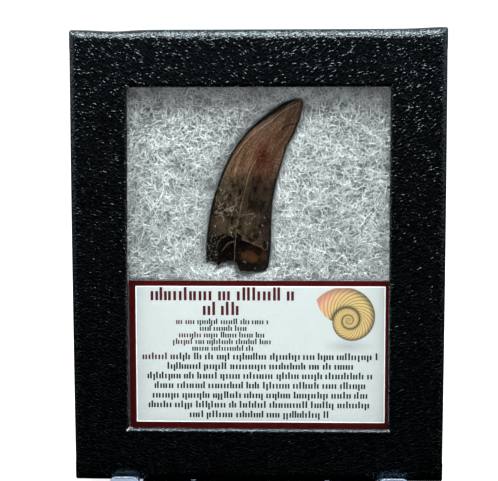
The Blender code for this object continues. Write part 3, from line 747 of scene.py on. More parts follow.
def arc(centre, radius, start, end, steps):
    """Points on an arc, as (inset, depth) pairs, with angles in degrees."""
    points = []
    for step in range(steps + 1):
        angle = math.radians(start + (end - start) * step / steps)
        points.append((centre[0] + radius * math.cos(angle), centre[1] + radius * math.sin(angle)))
    return points


def straight(first, last, steps):
    """Points between two (inset, depth) pairs, without the ends."""
    return [
        (first[0] + (last[0] - first[0]) * step / steps, first[1] + (last[1] - first[1]) * step / steps)
        for step in range(1, steps)
    ]


def lid_profile():
    """The lid's section, as (inset from the outer side, depth behind the front face)."""
    rim = (0.0, LID_DEPTH - RIM_CHAMFER)
    front_round = arc((LID_FRONT_ROUND, LID_FRONT_ROUND), LID_FRONT_ROUND, 180, 270, FRONT_ROUND_STEPS)
    window_round = arc((BORDER - WINDOW_ROUND, WINDOW_ROUND), WINDOW_ROUND, 270, 360, WINDOW_ROUND_STEPS)
    profile = [(RIM_CHAMFER, LID_DEPTH), rim] + straight(rim, front_round[0], WALL_STEPS)
    profile += front_round + straight(front_round[-1], window_round[0], FACE_STEPS) + window_round
    profile += [(BORDER, LID_BOARD), (LID_WALL, LID_BOARD)]
    profile += [(LID_WALL, LID_DEPTH - RIM_CHAMFER), (LID_WALL - RIM_CHAMFER, LID_DEPTH)]
    return profile


def corner_section(profile, side_x, side_z, turn):
    """The profile set across one corner of the case, turned by an angle round the rounded corner."""
    points = []
    for inset, depth in profile:
        if inset < LID_CORNER_ROUND:
            across = LID_CORNER_ROUND - (LID_CORNER_ROUND - inset) * math.cos(turn)
            up = LID_CORNER_ROUND - (LID_CORNER_ROUND - inset) * math.sin(turn)
        else:
            across = inset
            up = inset
        points.append((side_x * (CASE_WIDTH / 2 - across), depth, MID_HEIGHT + side_z * (MID_HEIGHT - up)))
    return np.array(points)


def lid_sections():
    """Sections all the way round the lid: six at each corner, and many along each side."""
    profile = lid_profile()
    corner_turns = np.radians((0, 18, 36, 54, 72, 90))
    sections = []
    corners = []
    for side_x, side_z in ((1, 1), (-1, 1), (-1, -1), (1, -1)):
        turns = corner_turns if side_x * side_z > 0 else corner_turns[::-1]
        corners.append([corner_section(profile, side_x, side_z, turn) for turn in turns])
    for number, corner in enumerate(corners):
        sections += corner
        start, end = corner[-1], corners[(number + 1) % 4][0]
        length = np.abs(end[:, (0, 2)] - start[:, (0, 2)]).max()
        lap = LAP_WIDTH / length
        edge = LAP_EDGE / length
        shares = [lap - edge, lap + edge, 1 - lap - edge, 1 - lap + edge]
        shares = sorted(shares + [step / SIDE_SECTIONS for step in range(1, SIDE_SECTIONS)])
        sections += [start + (end - start) * share for share in shares]
    return np.array(sections + sections[:1])


def settle_board(places):
    """How a hand-wrapped lid departs from true: bowed sides, a peaked corner, laps of paper, soft waves."""
    x, y, z = places[..., 0], places[..., 1], places[..., 2]
    half = CASE_WIDTH / 2
    up = (z - MID_HEIGHT) / MID_HEIGHT
    outer = ease(BORDER * 0.6, 0.0, half - np.abs(x))
    bowed = x + np.sign(x) * (SIDE_SWELL + SIDE_BOW * (1 - up ** 2)) * outer
    lap = ease(LAP_WIDTH + 0.2 * MM, LAP_WIDTH - 0.2 * MM, np.minimum(z, CASE_HEIGHT - z))
    on_side = (half - np.abs(x) < 0.05 * MM) & (y > LID_FRONT_ROUND)
    bowed = bowed + np.sign(x) * PAPER_LAP * lap * on_side
    top = ease(CASE_HEIGHT - 2 * MM, CASE_HEIGHT, z)
    rise = TOP_RISE + (CORNER_PEAK - TOP_RISE) * bump(half, PEAK_WIDTH, x)
    rise = rise - TOP_RISE * bump(TOP_DIP_PLACE - half, TOP_DIP_WIDTH, x)
    wave = BOARD_WAVE * roughness(places, 55.0, 1) * (y < 0.02 * MM)
    high = ease(60 * MM, 110 * MM, z)
    bowed += OPENING_SKEW * high * ease(half - 10 * MM, half - 15 * MM, -x) * ease(0.0, 30 * MM, -x)
    top_line = CASE_HEIGHT - BORDER
    at_opening = ease(top_line + 6 * MM, top_line + 1.5 * MM, z) * ease(top_line - 30 * MM, top_line, z)
    z = z - 0.75 * OPENING_SKEW * at_opening
    return np.stack((bowed, y + np.abs(wave), z + rise * top), axis=-1)


def make_lid(paper):
    """The wrapped window frame, with a mask of where its paper is pulled over the front edge."""
    places = settle_board(lid_sections())
    places = np.concatenate((places, places[:, :1]), axis=1)
    inset, depth = np.array(lid_profile() + lid_profile()[:1]).T
    pulled = ease(0.75 * LID_FRONT_ROUND, 0.45 * LID_FRONT_ROUND, inset) * (depth < LID_FRONT_ROUND)
    pulled = np.tile(pulled, (len(places), 1))
    shape = close_seams(shaped_grid(places, {"pulled": pulled}), 0.001 * MM)
    lid = add_piece("grained_lid", into_world(shape), paper)
    shade_round(lid, 40.0)
    return fit(lid, "case_covering", "lid")


def make_bare_corner(name, side_x, side_z, first, last, width, board):
    """A torn sliver of bare board at one corner of the window, between two (across, up) insets."""
    columns = (-0.5, -0.25, 0.0, 0.25, 0.5)
    brink = BORDER + (OPENING_SKEW if side_x < 0 < side_z else 0.0)
    first, last = Vector(first) * MM, Vector(last) * MM
    way = (last - first).normalized()
    places = []
    for row in range(BARE_STEPS):
        share = row / (BARE_STEPS - 1)
        ragged = 1 + 0.9 * noise.noise(Vector((row * 0.7, side_x, side_z)))
        for side in columns:
            skew = side * width * MM * (0.25 + 0.75 * math.sin(math.pi * share)) * ragged
            spot = first.lerp(last, share) + Vector((-way.y, way.x)) * skew
            over = min(max(min(spot) - brink + WINDOW_ROUND, 0.0), WINDOW_ROUND * 0.99)
            depth = WINDOW_ROUND - math.sqrt(WINDOW_ROUND ** 2 - over ** 2) - 0.06 * MM
            x = side_x * (CASE_WIDTH / 2 - spot.x)
            z = MID_HEIGHT + side_z * (MID_HEIGHT - spot.y)
            places.append((x, depth, z))
    shape = shaped_grid(np.array(places).reshape(BARE_STEPS, len(columns), 3))
    bmesh.ops.recalc_face_normals(shape, faces=shape.faces)
    bmesh.ops.solidify(shape, geom=shape.faces[:], thickness=-BARE_THICKNESS)
    bmesh.ops.recalc_face_normals(shape, faces=shape.faces)
    sliver = add_piece("bare_board_" + name, into_world(shape), board)
    return fit(sliver, "case_covering")


# The tray


def make_tray(paper):
    """An open box, thickened inwards, with a paper panel over its back."""
    low = Vector((TRAY_INSET - CASE_WIDTH / 2, FILLING_FRONT, TRAY_INSET))
    high = Vector((CASE_WIDTH / 2 - TRAY_INSET, CASE_DEPTH - PANEL_RISE, CASE_HEIGHT - TRAY_INSET))
    shape = block(low, high)
    mouth = min(shape.faces, key=lambda face: face.calc_center_median().y)
    kept = set(mouth.edges)
    bmesh.ops.delete(shape, geom=[mouth], context="FACES_ONLY")
    round_edges(shape, [edge for edge in shape.edges if edge not in kept], TRAY_ROUND, 5)
    backs = [face for face in shape.faces if face.calc_center_median().y > high.y - CLOSE]
    back = max(backs, key=lambda face: face.calc_area())
    for thickness, depth in ((PANEL_INSET, 0.0), (0.05 * MM, PANEL_RISE)):
        bmesh.ops.inset_region(shape, faces=[back], thickness=thickness, depth=depth, use_even_offset=True)
    tray = add_piece("wrapped_tray", into_world(shape), paper)
    wall = tray.modifiers.new("wall", "SOLIDIFY")
    wall.thickness = TRAY_WALL
    wall.offset = -1.0
    wall.use_even_offset = True
    shade_round(tray)
    return fit(tray, "tray_covering", "base_tray")


# The tooth, in millimetres about the middle of the case


def along_curve(points, t):
    """Points on a smooth curve through the given points, for an array of t from 0 to 1."""
    points = np.array(points)
    spans = len(points) - 1
    place = np.clip(t, 0.0, 1.0) * spans
    start = np.minimum(place.astype(int), spans - 1)
    u = (place - start)[:, None]
    before, first = points[np.maximum(start - 1, 0)], points[start]
    second, after = points[start + 1], points[np.minimum(start + 2, spans)]
    return 0.5 * (
        2 * first + (second - before) * u
        + (2 * before - 5 * first + 4 * second - after) * u ** 2
        + (3 * first - before - 3 * second + after) * u ** 3
    )


def break_height(across):
    """Height of the tooth's broken edge at a place across it: a short left part and a longer right part."""
    height = -1.15 - 2.9 * ease(-7.1, -5.3, across)
    height -= 1.1 * bump(-12.4, 0.8, across)
    height -= 0.7 * bump(-16.4, 0.7, across)
    height += 0.45 * bump(-8.7, 1.3, across)
    height += 0.9 * bump(3.3, 0.8, across)
    return height


def enamel_height(across):
    """Height of the enamel's broken edge on the front of the tooth."""
    edge = np.array(ENAMEL_EDGE)
    return np.interp(across, edge[:, 0], edge[:, 1])


def near_line(x, z, points, width):
    """1 on a line through the points, falling to 0 beside it."""
    nearest = np.full(x.shape, 1e9)
    for (x0, z0), (x1, z1) in zip(points, points[1:]):
        length = (x1 - x0) ** 2 + (z1 - z0) ** 2
        u = np.clip(((x - x0) * (x1 - x0) + (z - z0) * (z1 - z0)) / length, 0, 1)
        away = (x - x0 - u * (x1 - x0)) ** 2 + (z - z0 - u * (z1 - z0)) ** 2
        nearest = np.minimum(nearest, away)
    return np.exp(-nearest / width ** 2)


def short_scratches():
    """Short fine scratches, each a line of three points, scattered over the rubbed parts of the tooth."""
    random = np.random.default_rng(SCRATCH_SEED)
    scratches = []
    for middle_x, middle_z, reach_x, reach_z, count in RUBBED_PARTS:
        for _ in range(count):
            x = middle_x + random.normal(0, reach_x)
            z = middle_z + random.normal(0, reach_z)
            way = random.uniform(0, math.tau)
            points = [(x, z)]
            for _ in range(2):
                way += random.normal(0, 0.5)
                x += random.uniform(0.3, 0.9) * math.cos(way)
                z += random.uniform(0.3, 0.9) * math.sin(way)
                points.append((x, z))
            scratches.append(tuple(points))
    return tuple(scratches)


def near_spot(x, z, spot, width, height):
    """1 at a spot, falling to 0 round it."""
    return np.exp(-((x - spot[0]) / width) ** 2 - ((z - spot[1]) / height) ** 2)


def left_strip(x, z):
    """1 on the rough strip down the lower left side of the tooth, 0 away from it."""
    return ease(-12.2, -13.6, x) * ease(9.5, 6.0, z)


def pale_marks_and_painted_highlights(x, z, fine, ragged):
    """Pale cracks and scratches, painted highlight streaks near the tip and down the left side, the broken
    rim of the enamel, and specks.
    """
    dots = np.clip(0.55 + 1.1 * fine, 0, 1)
    # The tip and left streaks here are painted highlights; the other lines are cracks.
    streaks = (
        (LONG_CRACK, 0.45, 0.07, 0.1 + dots), (BASE_CRACK, 0.25, 0.065, 1.0), (SIDE_CRACK, 0.16, 0.12, dots),
        (TIP_PAINTED_HIGHLIGHT, 0.34, 0.14, 1.0), (LEFT_PAINTED_HIGHLIGHT, 0.24, 0.2, dots),
    )
    pale = sum(strength * near_line(x, z, line, width) * gaps for line, strength, width, gaps in streaks)
    bent_x, bent_z = x + 0.22 * fine, z + 0.3 * ragged
    for scratch in SCRATCHES + short_scratches():
        pale = np.maximum(pale, 0.42 * near_line(bent_x, bent_z, scratch, 0.085) * (0.1 + dots))
    pale = np.maximum(pale, 0.55 * near_line(bent_x, bent_z, ENAMEL_LINE, 0.11) * dots ** 2)
    pale = np.maximum(pale, 0.28 * near_line(bent_x, z, ENAMEL_HOOK, 0.085))
    pale = np.maximum(pale, 0.22 * near_line(bent_x, bent_z, ENAMEL_LIMB, 0.1) * dots)
    for spot_x, spot_z, size in PALE_SPOTS:
        pale = np.maximum(pale, 0.8 * near_spot(x, z, (spot_x, spot_z), 0.7 * size, 0.7 * size))
    return np.maximum(pale, 0.12 * near_line(x, z, DENTINE_LINE, 0.16))


def dark_marks_and_painted_edge_shade(x, z, across, fine):
    """Dark cracks, painted shade along the turned-away sides, and the band that runs up from the broken
    enamel.
    """
    dark = 0.95 * near_line(x, z, TIP_CRACK, 0.22)
    dark = np.maximum(dark, 0.9 * ease(-1.5, -2.6, z) * ease(-7.0, -5.5, x))
    dark = np.maximum(dark, 0.5 * near_line(x, z, LONG_CRACK, 0.5) * (1 - near_line(x, z, LONG_CRACK, 0.25)))
    band = ease(26.6, 24.8, z + 0.4 * fine) * ease(11.0, 18.0, z) * bump(-0.9, 2.2, x - 0.12 * (z - 20))
    streaked = roughness(laid_flat(x * 2.4, z * 0.3), 1.0, 9)
    dark = np.maximum(dark, 0.8 * band * (0.75 + 0.5 * streaked))
    # Painted shade: the tooth's front is darkened towards its left and right edges, where it turns away from
    # the light.
    left_start = 0.88 - 0.4 * ease(38.0, 48.5, z)
    dark = np.maximum(dark, 0.9 * ease(left_start, left_start + 0.09, -across))
    dark = np.maximum(dark, 0.75 * ease(0.9, 0.985, across))
    return np.maximum(dark, 0.45 * ease(-0.5, 1.5, x) * ease(24.0, 19.0, z) * ease(3.5, 5.0, z))


def tooth_marks(x, z, across, front):
    """Masks from 0 to 1 for the tooth's colours, each a value at every point of its surface."""
    flat = laid_flat(x, z)
    ragged = roughness(flat, 1.1, 4)
    fine = roughness(flat, 3.7, 5)
    edge = enamel_height(x) + 0.35 * fine
    broken = (1 - ease(edge - 0.25, edge + 0.25, z)) * front
    strip = left_strip(x, z)
    crust = ease(0.18, 0.5, roughness(flat, 1.9, 6))
    pale = np.maximum(pale_marks_and_painted_highlights(x, z, fine, ragged), 0.25 * strip * crust)
    dark = np.maximum(dark_marks_and_painted_edge_shade(x, z, across, fine), 0.85 * strip * (1 - crust))
    red = near_spot(x, z, *RED_STAIN) + 0.5 * near_spot(x, z, *HIGH_RED_STAIN)
    tan = 0.4 * sum(near_spot(x, z, *stain) for stain in TAN_STAINS)
    tan += 0.5 * near_spot(x, z, *HIGH_TAN_STAIN) * (0.7 + ragged)
    amber = np.minimum(0.8 * sum(near_spot(x, z, *stain) for stain in AMBER_STAINS) * broken, 1)
    for spot_x, spot_z, size in ORANGE_SPOTS:
        amber = np.maximum(amber, near_spot(x, z, (spot_x, spot_z), size, size))
    marks = {
        "pale": pale * front, "dark": dark * front, "red": red * front, "tan": tan * front,
        "amber": amber * front, "dentine": broken, "low": ease(29.0, 22.5, z + 2.0 * ragged),
    }
    return {name: np.clip(values, 0, 1) for name, values in marks.items()}


def tooth_angles():
    """Angles round the tooth, closer together over its front than over its back."""
    share = np.linspace(0, 1, TOOTH_FRONT_SIDES + 1)
    front = 0.5 * math.pi * share + 0.5 * np.arccos(1 - 2 * share)
    back = math.pi + math.pi * np.linspace(0, 1, TOOTH_BACK_SIDES + 1)[1:]
    return np.concatenate((front, back))


def tooth_surface():
    """Points in rows round the tooth from its broken base to its tip, how far along, and their angles."""
    angles = tooth_angles()
    t = np.linspace(0, 1, TOOTH_RINGS)
    left, right = along_curve(TOOTH_LEFT, t), along_curve(TOOTH_RIGHT, t)
    centre, half = (left + right) / 2, (right - left) / 2
    reach = np.linalg.norm(half, axis=1)
    tip_turn = np.linspace(0, math.pi / 2, TIP_RINGS + 1)[1:]
    tip_way = left[-1] - left[-12] + right[-1] - right[-12]
    tip_way = tip_way / np.linalg.norm(tip_way)
    beyond = centre[-1] + tip_way * (0.25 * np.sin(tip_turn))[:, None]
    across = half / reach[:, None]
    centre = np.concatenate((centre, beyond))
    across = np.concatenate((across, np.repeat(across[-1:], TIP_RINGS, axis=0)))
    reach = np.concatenate((reach, reach[-1] * np.cos(tip_turn)))
    t = np.concatenate((t, np.ones(TIP_RINGS)))
    ratio = TOOTH_BASE_RATIO + (TOOTH_TIP_RATIO - TOOTH_BASE_RATIO) * ease(0.45, 1.0, t)
    middle = TOOTH_BASE_MIDDLE + (TOOTH_TIP_MIDDLE - TOOTH_BASE_MIDDLE) * t ** 1.5
    out, forward = np.cos(angles), np.sin(angles)
    thick = np.sign(forward) * np.abs(forward) ** TOOTH_EDGE_SHARPNESS
    x = centre[:, :1] + across[:, :1] * reach[:, None] * out
    z = centre[:, 1:] + across[:, 1:] * reach[:, None] * out
    y = middle[:, None] - thick * (reach * ratio)[:, None]
    lowest = TOOTH_LEFT[0][1]
    edge = break_height(x) + 0.18 * roughness(laid_flat(x, y), 1.3, 2)
    share = (z - lowest) / (BREAK_BLEND - lowest)
    z = np.where(z < BREAK_BLEND, edge + share * (BREAK_BLEND - edge), z)
    along = np.repeat(t[:, None] * TOOTH_LENGTH, len(angles), axis=1)
    return np.stack((x, y, z), axis=-1), along, np.repeat(angles[None], len(t), axis=0)


def weathered(places, along, angles, front):
    """Wears the smooth tooth: broken enamel, fine ridges, pits, cracks and a chipped edge."""
    x, y, z = places[..., 0], places[..., 1], places[..., 2]
    flat = laid_flat(x, z)
    edge = enamel_height(x) + 0.35 * roughness(flat, 3.7, 5)
    sunk = ENAMEL_STEP * (1 - ease(edge - 0.3, edge + 0.3, z)) * front
    ridges = np.stack((np.cos(angles) * 9, np.sin(angles) * 9, along * 0.12), axis=-1)
    sunk += 0.055 * roughness(ridges, 1.0, 3) + 0.03 * roughness(places, 1.4, 7)
    sunk += 0.22 * left_strip(x, z) * front * roughness(flat, 1.9, 6)
    for crack, depth in ((LONG_CRACK, 0.06), (BASE_CRACK, 0.08), (TIP_CRACK, 0.1), (SIDE_CRACK, 0.04)):
        sunk += depth * near_line(x, z, crack, 0.22) * front
    sunk += 0.7 * near_line(x, z, SIDE_GOUGE, 0.28) * front
    chip = 0.55 * bump(34.9, 1.0, z) * ease(6.5, 8.5, x)
    return np.stack((x - chip, y + sunk, z), axis=-1)


def broken_base(rim):
    """Rows of points inside the broken base, from its middle out to the rim: sunk a little and rough."""
    centre = rim.mean(axis=0)
    rows = []
    for share in (0.0, 0.12, 0.24, 0.36, 0.48, 0.6, 0.7, 0.79, 0.87, 0.93, 0.97):
        row = centre + (rim - centre) * share
        row[:, 2] = break_height(row[:, 0]) + BREAK_HOLLOW * (1 - share ** 2)
        row[:, 2] += BREAK_ROUGHNESS * roughness(row, 0.55, 8) * (1 - share ** 8)
        rows.append(row)
    rows[0][:, 2] = rows[0][:, 2].mean()
    return np.array(rows)


def make_tooth(enamel):
    """The worn tooth with its broken base, and the masks of its colours stored on its points."""
    places, along, angles = tooth_surface()
    front = ease(-0.02, 0.12, np.sin(angles))
    places = weathered(places, along, angles, front)
    base = broken_base(places[0])
    marks = tooth_marks(places[..., 0], places[..., 2], np.cos(angles), front)
    inner = np.zeros(base.shape[:2])
    layers = {name: np.concatenate((inner + (name == "dentine"), values)) for name, values in marks.items()}
    layers["along"] = np.concatenate((inner, along))
    layers["round_x"] = np.concatenate((np.repeat(np.cos(angles[:1]), len(base), axis=0), np.cos(angles)))
    layers["round_y"] = np.concatenate((np.repeat(np.sin(angles[:1]), len(base), axis=0), np.sin(angles)))
    shape = shaped_grid(np.concatenate((base, places)), layers)
    close_seams(shape, 0.0005)
    tooth = add_piece("fossil_tooth_crown", millimetres_into_world(shape), enamel)
    shade_round(tooth, 60.0)
    return fit(tooth, "fossil", "tooth")


# The batting, in millimetres about the middle of the case


def tooth_outline():
    """The tooth's outline seen from the front, as a closed line of points."""
    t = np.linspace(0, 1, 60)
    left, right = along_curve(TOOTH_LEFT, t), along_curve(TOOTH_RIGHT, t)
    foot_x = np.linspace(right[0, 0], left[0, 0], 24)
    foot = np.stack((foot_x, break_height(foot_x)), axis=-1)
    left, right = left[left[:, 1] > 0], right[right[:, 1] > -3]
    return np.concatenate((left, right[::-1], foot))


def outside_tooth(x, z):
    """Distance from the tooth's outline, in millimetres, and less than 0 inside it."""
    line = tooth_outline()
    nearest = np.full(x.shape, 1e9)
    inside = np.zeros(x.shape, bool)
    for (x0, z0), (x1, z1) in zip(line, np.roll(line, -1, axis=0)):
        length = max((x1 - x0) ** 2 + (z1 - z0) ** 2, 1e-9)
        u = np.clip(((x - x0) * (x1 - x0) + (z - z0) * (z1 - z0)) / length, 0, 1)
        nearest = np.minimum(nearest, (x - x0 - u * (x1 - x0)) ** 2 + (z - z0 - u * (z1 - z0)) ** 2)
        if z0 != z1:
            crossing = ((z0 > z) != (z1 > z)) & (x < (x1 - x0) * (z - z0) / (z1 - z0) + x0)
            inside ^= crossing
    return np.where(inside, -1.0, 1.0) * np.sqrt(nearest)


def pad_depth(x, z):
    """How far behind the case's front face the batting's surface lies."""
    away = outside_tooth(x, z)
    flat = laid_flat(x, z)
    loft = 0.35 * roughness(flat, 0.16, 11) + 0.18 * roughness(flat, 0.6, 12)
    dip = PAD_DIP * np.exp(-(np.maximum(away, 0) / PAD_DIP_WIDTH) ** 1.4)
    under = PAD_BED * ease(0.3, -2.5, away)
    return PAD_REST + loft + dip + under


def make_pad(fibre):
    """The pad itself: a crowned front with the tooth's bed in it, and rounded sides and back."""
    half_x = CASE_WIDTH / 2 / MM - PAD_INSET
    half_z = MID_HEIGHT / MM - PAD_INSET
    columns = int(2 * half_x / PAD_STEP)
    rows = int(2 * half_z / PAD_STEP)
    x, z = np.meshgrid(np.linspace(-half_x, half_x, columns), np.linspace(-half_z, half_z, rows))
    from_side = np.minimum(half_x - np.abs(x), half_z - np.abs(z))
    y = pad_depth(x, z) + PAD_EDGE_DROP * (1 - ease(0.0, PAD_EDGE_WIDTH, from_side))
    deepest = PAD_BACK - PAD_BACK_ROUND
    shape = shaped_grid(np.stack((x, np.minimum(y, deepest), z), axis=-1))
    rim = [edge for edge in shape.edges if edge.is_boundary]
    for depth, shrink in ((deepest, 1.0), (PAD_BACK - 0.4, 0.995), (PAD_BACK, 0.985)):
        made = bmesh.ops.extrude_edge_only(shape, edges=rim)["geom"]
        verts = [item for item in made if isinstance(item, bmesh.types.BMVert)]
        rim = [item for item in made if isinstance(item, bmesh.types.BMEdge) and item.is_boundary]
        for vert in verts:
            vert.co = (vert.co.x * shrink, depth, vert.co.z * shrink)
    bmesh.ops.holes_fill(shape, edges=rim, sides=0)
    bmesh.ops.recalc_face_normals(shape, faces=shape.faces)
    pad = add_piece("batting_pad", millimetres_into_world(shape), fibre)
    shade_round(pad, 60.0)
    fit(pad, "batting", "fibre_batting")
    return pad


def strand_copies(name, count, material):
    """Many copies of one thin three-sided strand as one mesh, still to be laid out."""
    shape = bmesh.new()
    bmesh.ops.create_circle(shape, cap_ends=True, cap_tris=False, segments=3, radius=1.0)
    ring = list(shape.edges)
    for step in range(STRAND_NODES - 1):
        made = bmesh.ops.extrude_edge_only(shape, edges=ring)["geom"]
        ring = [item for item in made if isinstance(item, bmesh.types.BMEdge) and item.is_boundary]
        verts = [item for item in made if isinstance(item, bmesh.types.BMVert)]
        bmesh.ops.translate(shape, vec=(0, 0, 1.0), verts=verts)
    bmesh.ops.holes_fill(shape, edges=ring, sides=0)
    bmesh.ops.recalc_face_normals(shape, faces=shape.faces)
    single = add_piece(name + "_strand", shape, material)
    copies = single.modifiers.new("copies", "ARRAY")
    copies.count = count
    copies.use_relative_offset = False
    seen = single.evaluated_get(bpy.context.evaluated_depsgraph_get())
    mesh = bpy.data.meshes.new_from_object(seen)
    bpy.data.objects.remove(single)
    strands = bpy.data.objects.new(name, mesh)
    mesh.name = name
    bpy.context.scene.collection.objects.link(strands)
    return strands


def strand_paths(random, count, longest, lift):
    """Wandering lines over the pad, as rows of points in millimetres."""
    step = np.arange(STRAND_NODES) / (STRAND_NODES - 1)
    length = random.uniform(0.3, 1.0, count) * longest
    heading = random.uniform(0, math.tau, count)[:, None]
    bend = random.normal(0, 1.0, count)[:, None] * step * 1.6
    wander = np.cumsum(random.normal(0, 0.3, (count, STRAND_NODES)), axis=1)
    way = heading + bend + wander
    stride = (length / (STRAND_NODES - 1))[:, None]
    x = random.uniform(*STRAND_STARTS_X, count)[:, None] + np.cumsum(np.cos(way) * stride, axis=1)
    z = random.uniform(*STRAND_STARTS_Z, count)[:, None] + np.cumsum(np.sin(way) * stride, axis=1)
    rise = random.uniform(*lift, count)[:, None] * np.sin(math.pi * (0.08 + 0.84 * step))
    y = pad_depth(x, z) + 0.12 - rise - 0.12 * random.random((count, 1))
    return np.stack((x, y, z), axis=-1)


def lay_strands(strands, paths, radii, random):
    """Lays each copy of the strand along its own path, drawn thinner at both ends."""
    mesh = strands.data
    count = len(paths)
    places = np.zeros(len(mesh.vertices) * 3, np.float32)
    mesh.vertices.foreach_get("co", places)
    places = places.reshape(count, -1, 3)
    ring = np.rint(places[0, :, 2]).astype(int)
    spin = random.uniform(0, math.tau, (count, 1))
    angle = np.arctan2(places[:, :, 1], places[:, :, 0]) + spin
    along = np.gradient(paths, axis=1)
    along /= np.linalg.norm(along, axis=2, keepdims=True)
    beside = np.stack((-along[..., 2], 0 * along[..., 1], along[..., 0]), axis=-1)
    beside /= np.linalg.norm(beside, axis=2, keepdims=True)
    above = np.cross(along, beside)
    thin = 1 - 0.75 * np.abs(ring / (STRAND_NODES - 1) * 2 - 1) ** 4
    radius = (radii[:, None] * thin[None])[..., None]
    sideways = np.cos(angle)[..., None] * beside[:, ring] + np.sin(angle)[..., None] * above[:, ring]
    laid = paths[:, ring] + sideways * radius
    mesh.vertices.foreach_set("co", laid.reshape(-1).astype(np.float32))
    tone = mesh.attributes.new("tone", "FLOAT", "POINT")
    tone.data.foreach_set("value", np.repeat(random.random(count), len(ring)).astype(np.float32))
    mesh.transform(CASE @ Matrix.Translation((0, 0, MID_HEIGHT)) @ Matrix.Scale(MM, 4))
    mesh.update()


def make_fibres(name, seed, longest, lift, thickness, material):
    """One layer of loose fibres, clear of the tooth, the card and the glass."""
    random = np.random.default_rng(seed)
    paths = np.empty((0, STRAND_NODES, 3))
    while len(paths) < STRANDS_IN_PIECE:
        tried = strand_paths(random, STRANDS_IN_PIECE, longest, lift)
        x, y, z = tried[..., 0], tried[..., 1], tried[..., 2]
        off_tooth = outside_tooth(x, z).min(axis=1) > BESIDE_TOOTH
        in_case = (z.max(axis=1) < STRAND_LIMIT_Z) & (np.abs(x).max(axis=1) < STRAND_LIMIT_X)
        off_card = ((z >= CARD_REACH) | (y > BEHIND_CARD)).all(axis=1)
        paths = np.concatenate((paths, tried[off_tooth & in_case & off_card]))
    paths = paths[:STRANDS_IN_PIECE]
    radii = random.uniform(*thickness, STRANDS_IN_PIECE)
    floor = (GLASS_BACK / MM + 0.06 + radii)[:, None]
    paths[..., 1] = np.maximum(paths[..., 1], floor)
    strands = strand_copies("batting_fibres_" + name, STRANDS_IN_PIECE, material)
    lay_strands(strands, paths, radii, random)
    strands.data.shade_smooth()
    return fit(strands, "batting")


# The card, in millimetres about the middle of the case


def words_in_line(random, left, right, size):
    """Plain upright strokes in groups as long as words, none of them a letter: (start, end, low, high)."""
    stroke = (0.3 if size > LARGE_PRINT else 0.36) * size
    pitch = (0.5 if size > LARGE_PRINT else 0.6) * size
    strokes = []
    place = left
    while place < right - stroke:
        marks = int(random.integers(3, 14))
        for _ in range(marks):
            if place > right - stroke:
                break
            kind = random.random()
            high = HIGH_STROKE if kind < 0.22 else 1.0
            low = LOW_STROKE if kind > 0.93 and size < LARGE_PRINT else 0.0
            strokes.append((place, place + stroke, low * size, high * size))
            place += pitch * random.uniform(0.85, 1.2)
        place += 0.5 * size
    return strokes


def cut_front(shape, faces, place, direction):
    """Cuts the given faces of the card's front along a plane, and gives back all the faces of that region."""
    geometry = list(faces) + list({edge for face in faces for edge in face.edges})
    geometry += list({vert for face in faces for vert in face.verts})
    made = bmesh.ops.bisect_plane(shape, geom=geometry, plane_co=place, plane_no=direction, dist=1e-6)
    return [item for item in made["geom"] if isinstance(item, bmesh.types.BMFace)]


def printed_strokes():
    """Every stroke of the print, as (left, low, right, high, finish)."""
    random = np.random.default_rng(PRINT_SEED)
    areas = []
    for middle, left, right, size, red_length in PRINT_LINES:
        foot = middle - size / 2
        for start, end, low, high in words_in_line(random, left, right, size):
            kind = CARD_RED_INK if start < left + red_length else CARD_INK
            areas.append((start, foot + low, end, foot + high, kind))
    return areas


def cut_line_of_print(shape, front, areas, foot, size):
    """Cuts the card's front round the strokes of one line of print, and gives back all of its faces."""
    lowest, highest = foot + LOW_STROKE * size, foot + HIGH_STROKE * size
    row = [area for area in areas if lowest - 0.01 <= area[1] and area[3] <= highest + 0.01]
    for level in (lowest, highest):
        front = cut_front(shape, front, (0, 0, level), (0, 0, 1))
    inside = [face for face in front if lowest < face.calc_center_median().z < highest]
    outside = [face for face in front if not lowest < face.calc_center_median().z < highest]
    for level in (foot, foot + size):
        inside = cut_front(shape, inside, (0, 0, level), (0, 0, 1))
    for place in sorted({place for area in row for place in (area[0], area[2])}):
        near = []
        kept = []
        for face in inside:
            across = [vert.co.x for vert in face.verts]
            (near if min(across) < place < max(across) else kept).append(face)
        inside = kept + cut_front(shape, near, (place, 0, 0), (1, 0, 0))
    return outside + inside


def make_card(*materials):
    """A card whose front face is cut along its borders and its print, with no thickness to the ink."""
    centre_z = MID_HEIGHT / MM
    low = (CARD_LEFT / MM, FILLING_FRONT / MM, CARD_BOTTOM / MM - centre_z)
    high = (CARD_RIGHT / MM, (FILLING_FRONT + CARD_THICKNESS) / MM, CARD_TOP / MM - centre_z)
    shape = block(low, high)
    front = [min(shape.faces, key=lambda face: face.calc_center_median().y)]
    for left, bottom, right, top in (RED_INSIDE, WHITE_INSIDE, PICTURE):
        for place in (left, right):
            front = cut_front(shape, front, (place, 0, 0), (1, 0, 0))
        for place in (bottom, top):
            front = cut_front(shape, front, (0, 0, place), (0, 0, 1))
    areas = printed_strokes()
    for middle, _, _, size, _ in PRINT_LINES:
        front = cut_line_of_print(shape, front, areas, middle - size / 2, size)
    colour_card(shape, front, areas)
    card = add_piece("printed_card", millimetres_into_world(shape), *materials)
    return fit(card, "card", "label_card")


def within(spot, area):
    return area[0] < spot.x < area[2] and area[1] < spot.z < area[3]


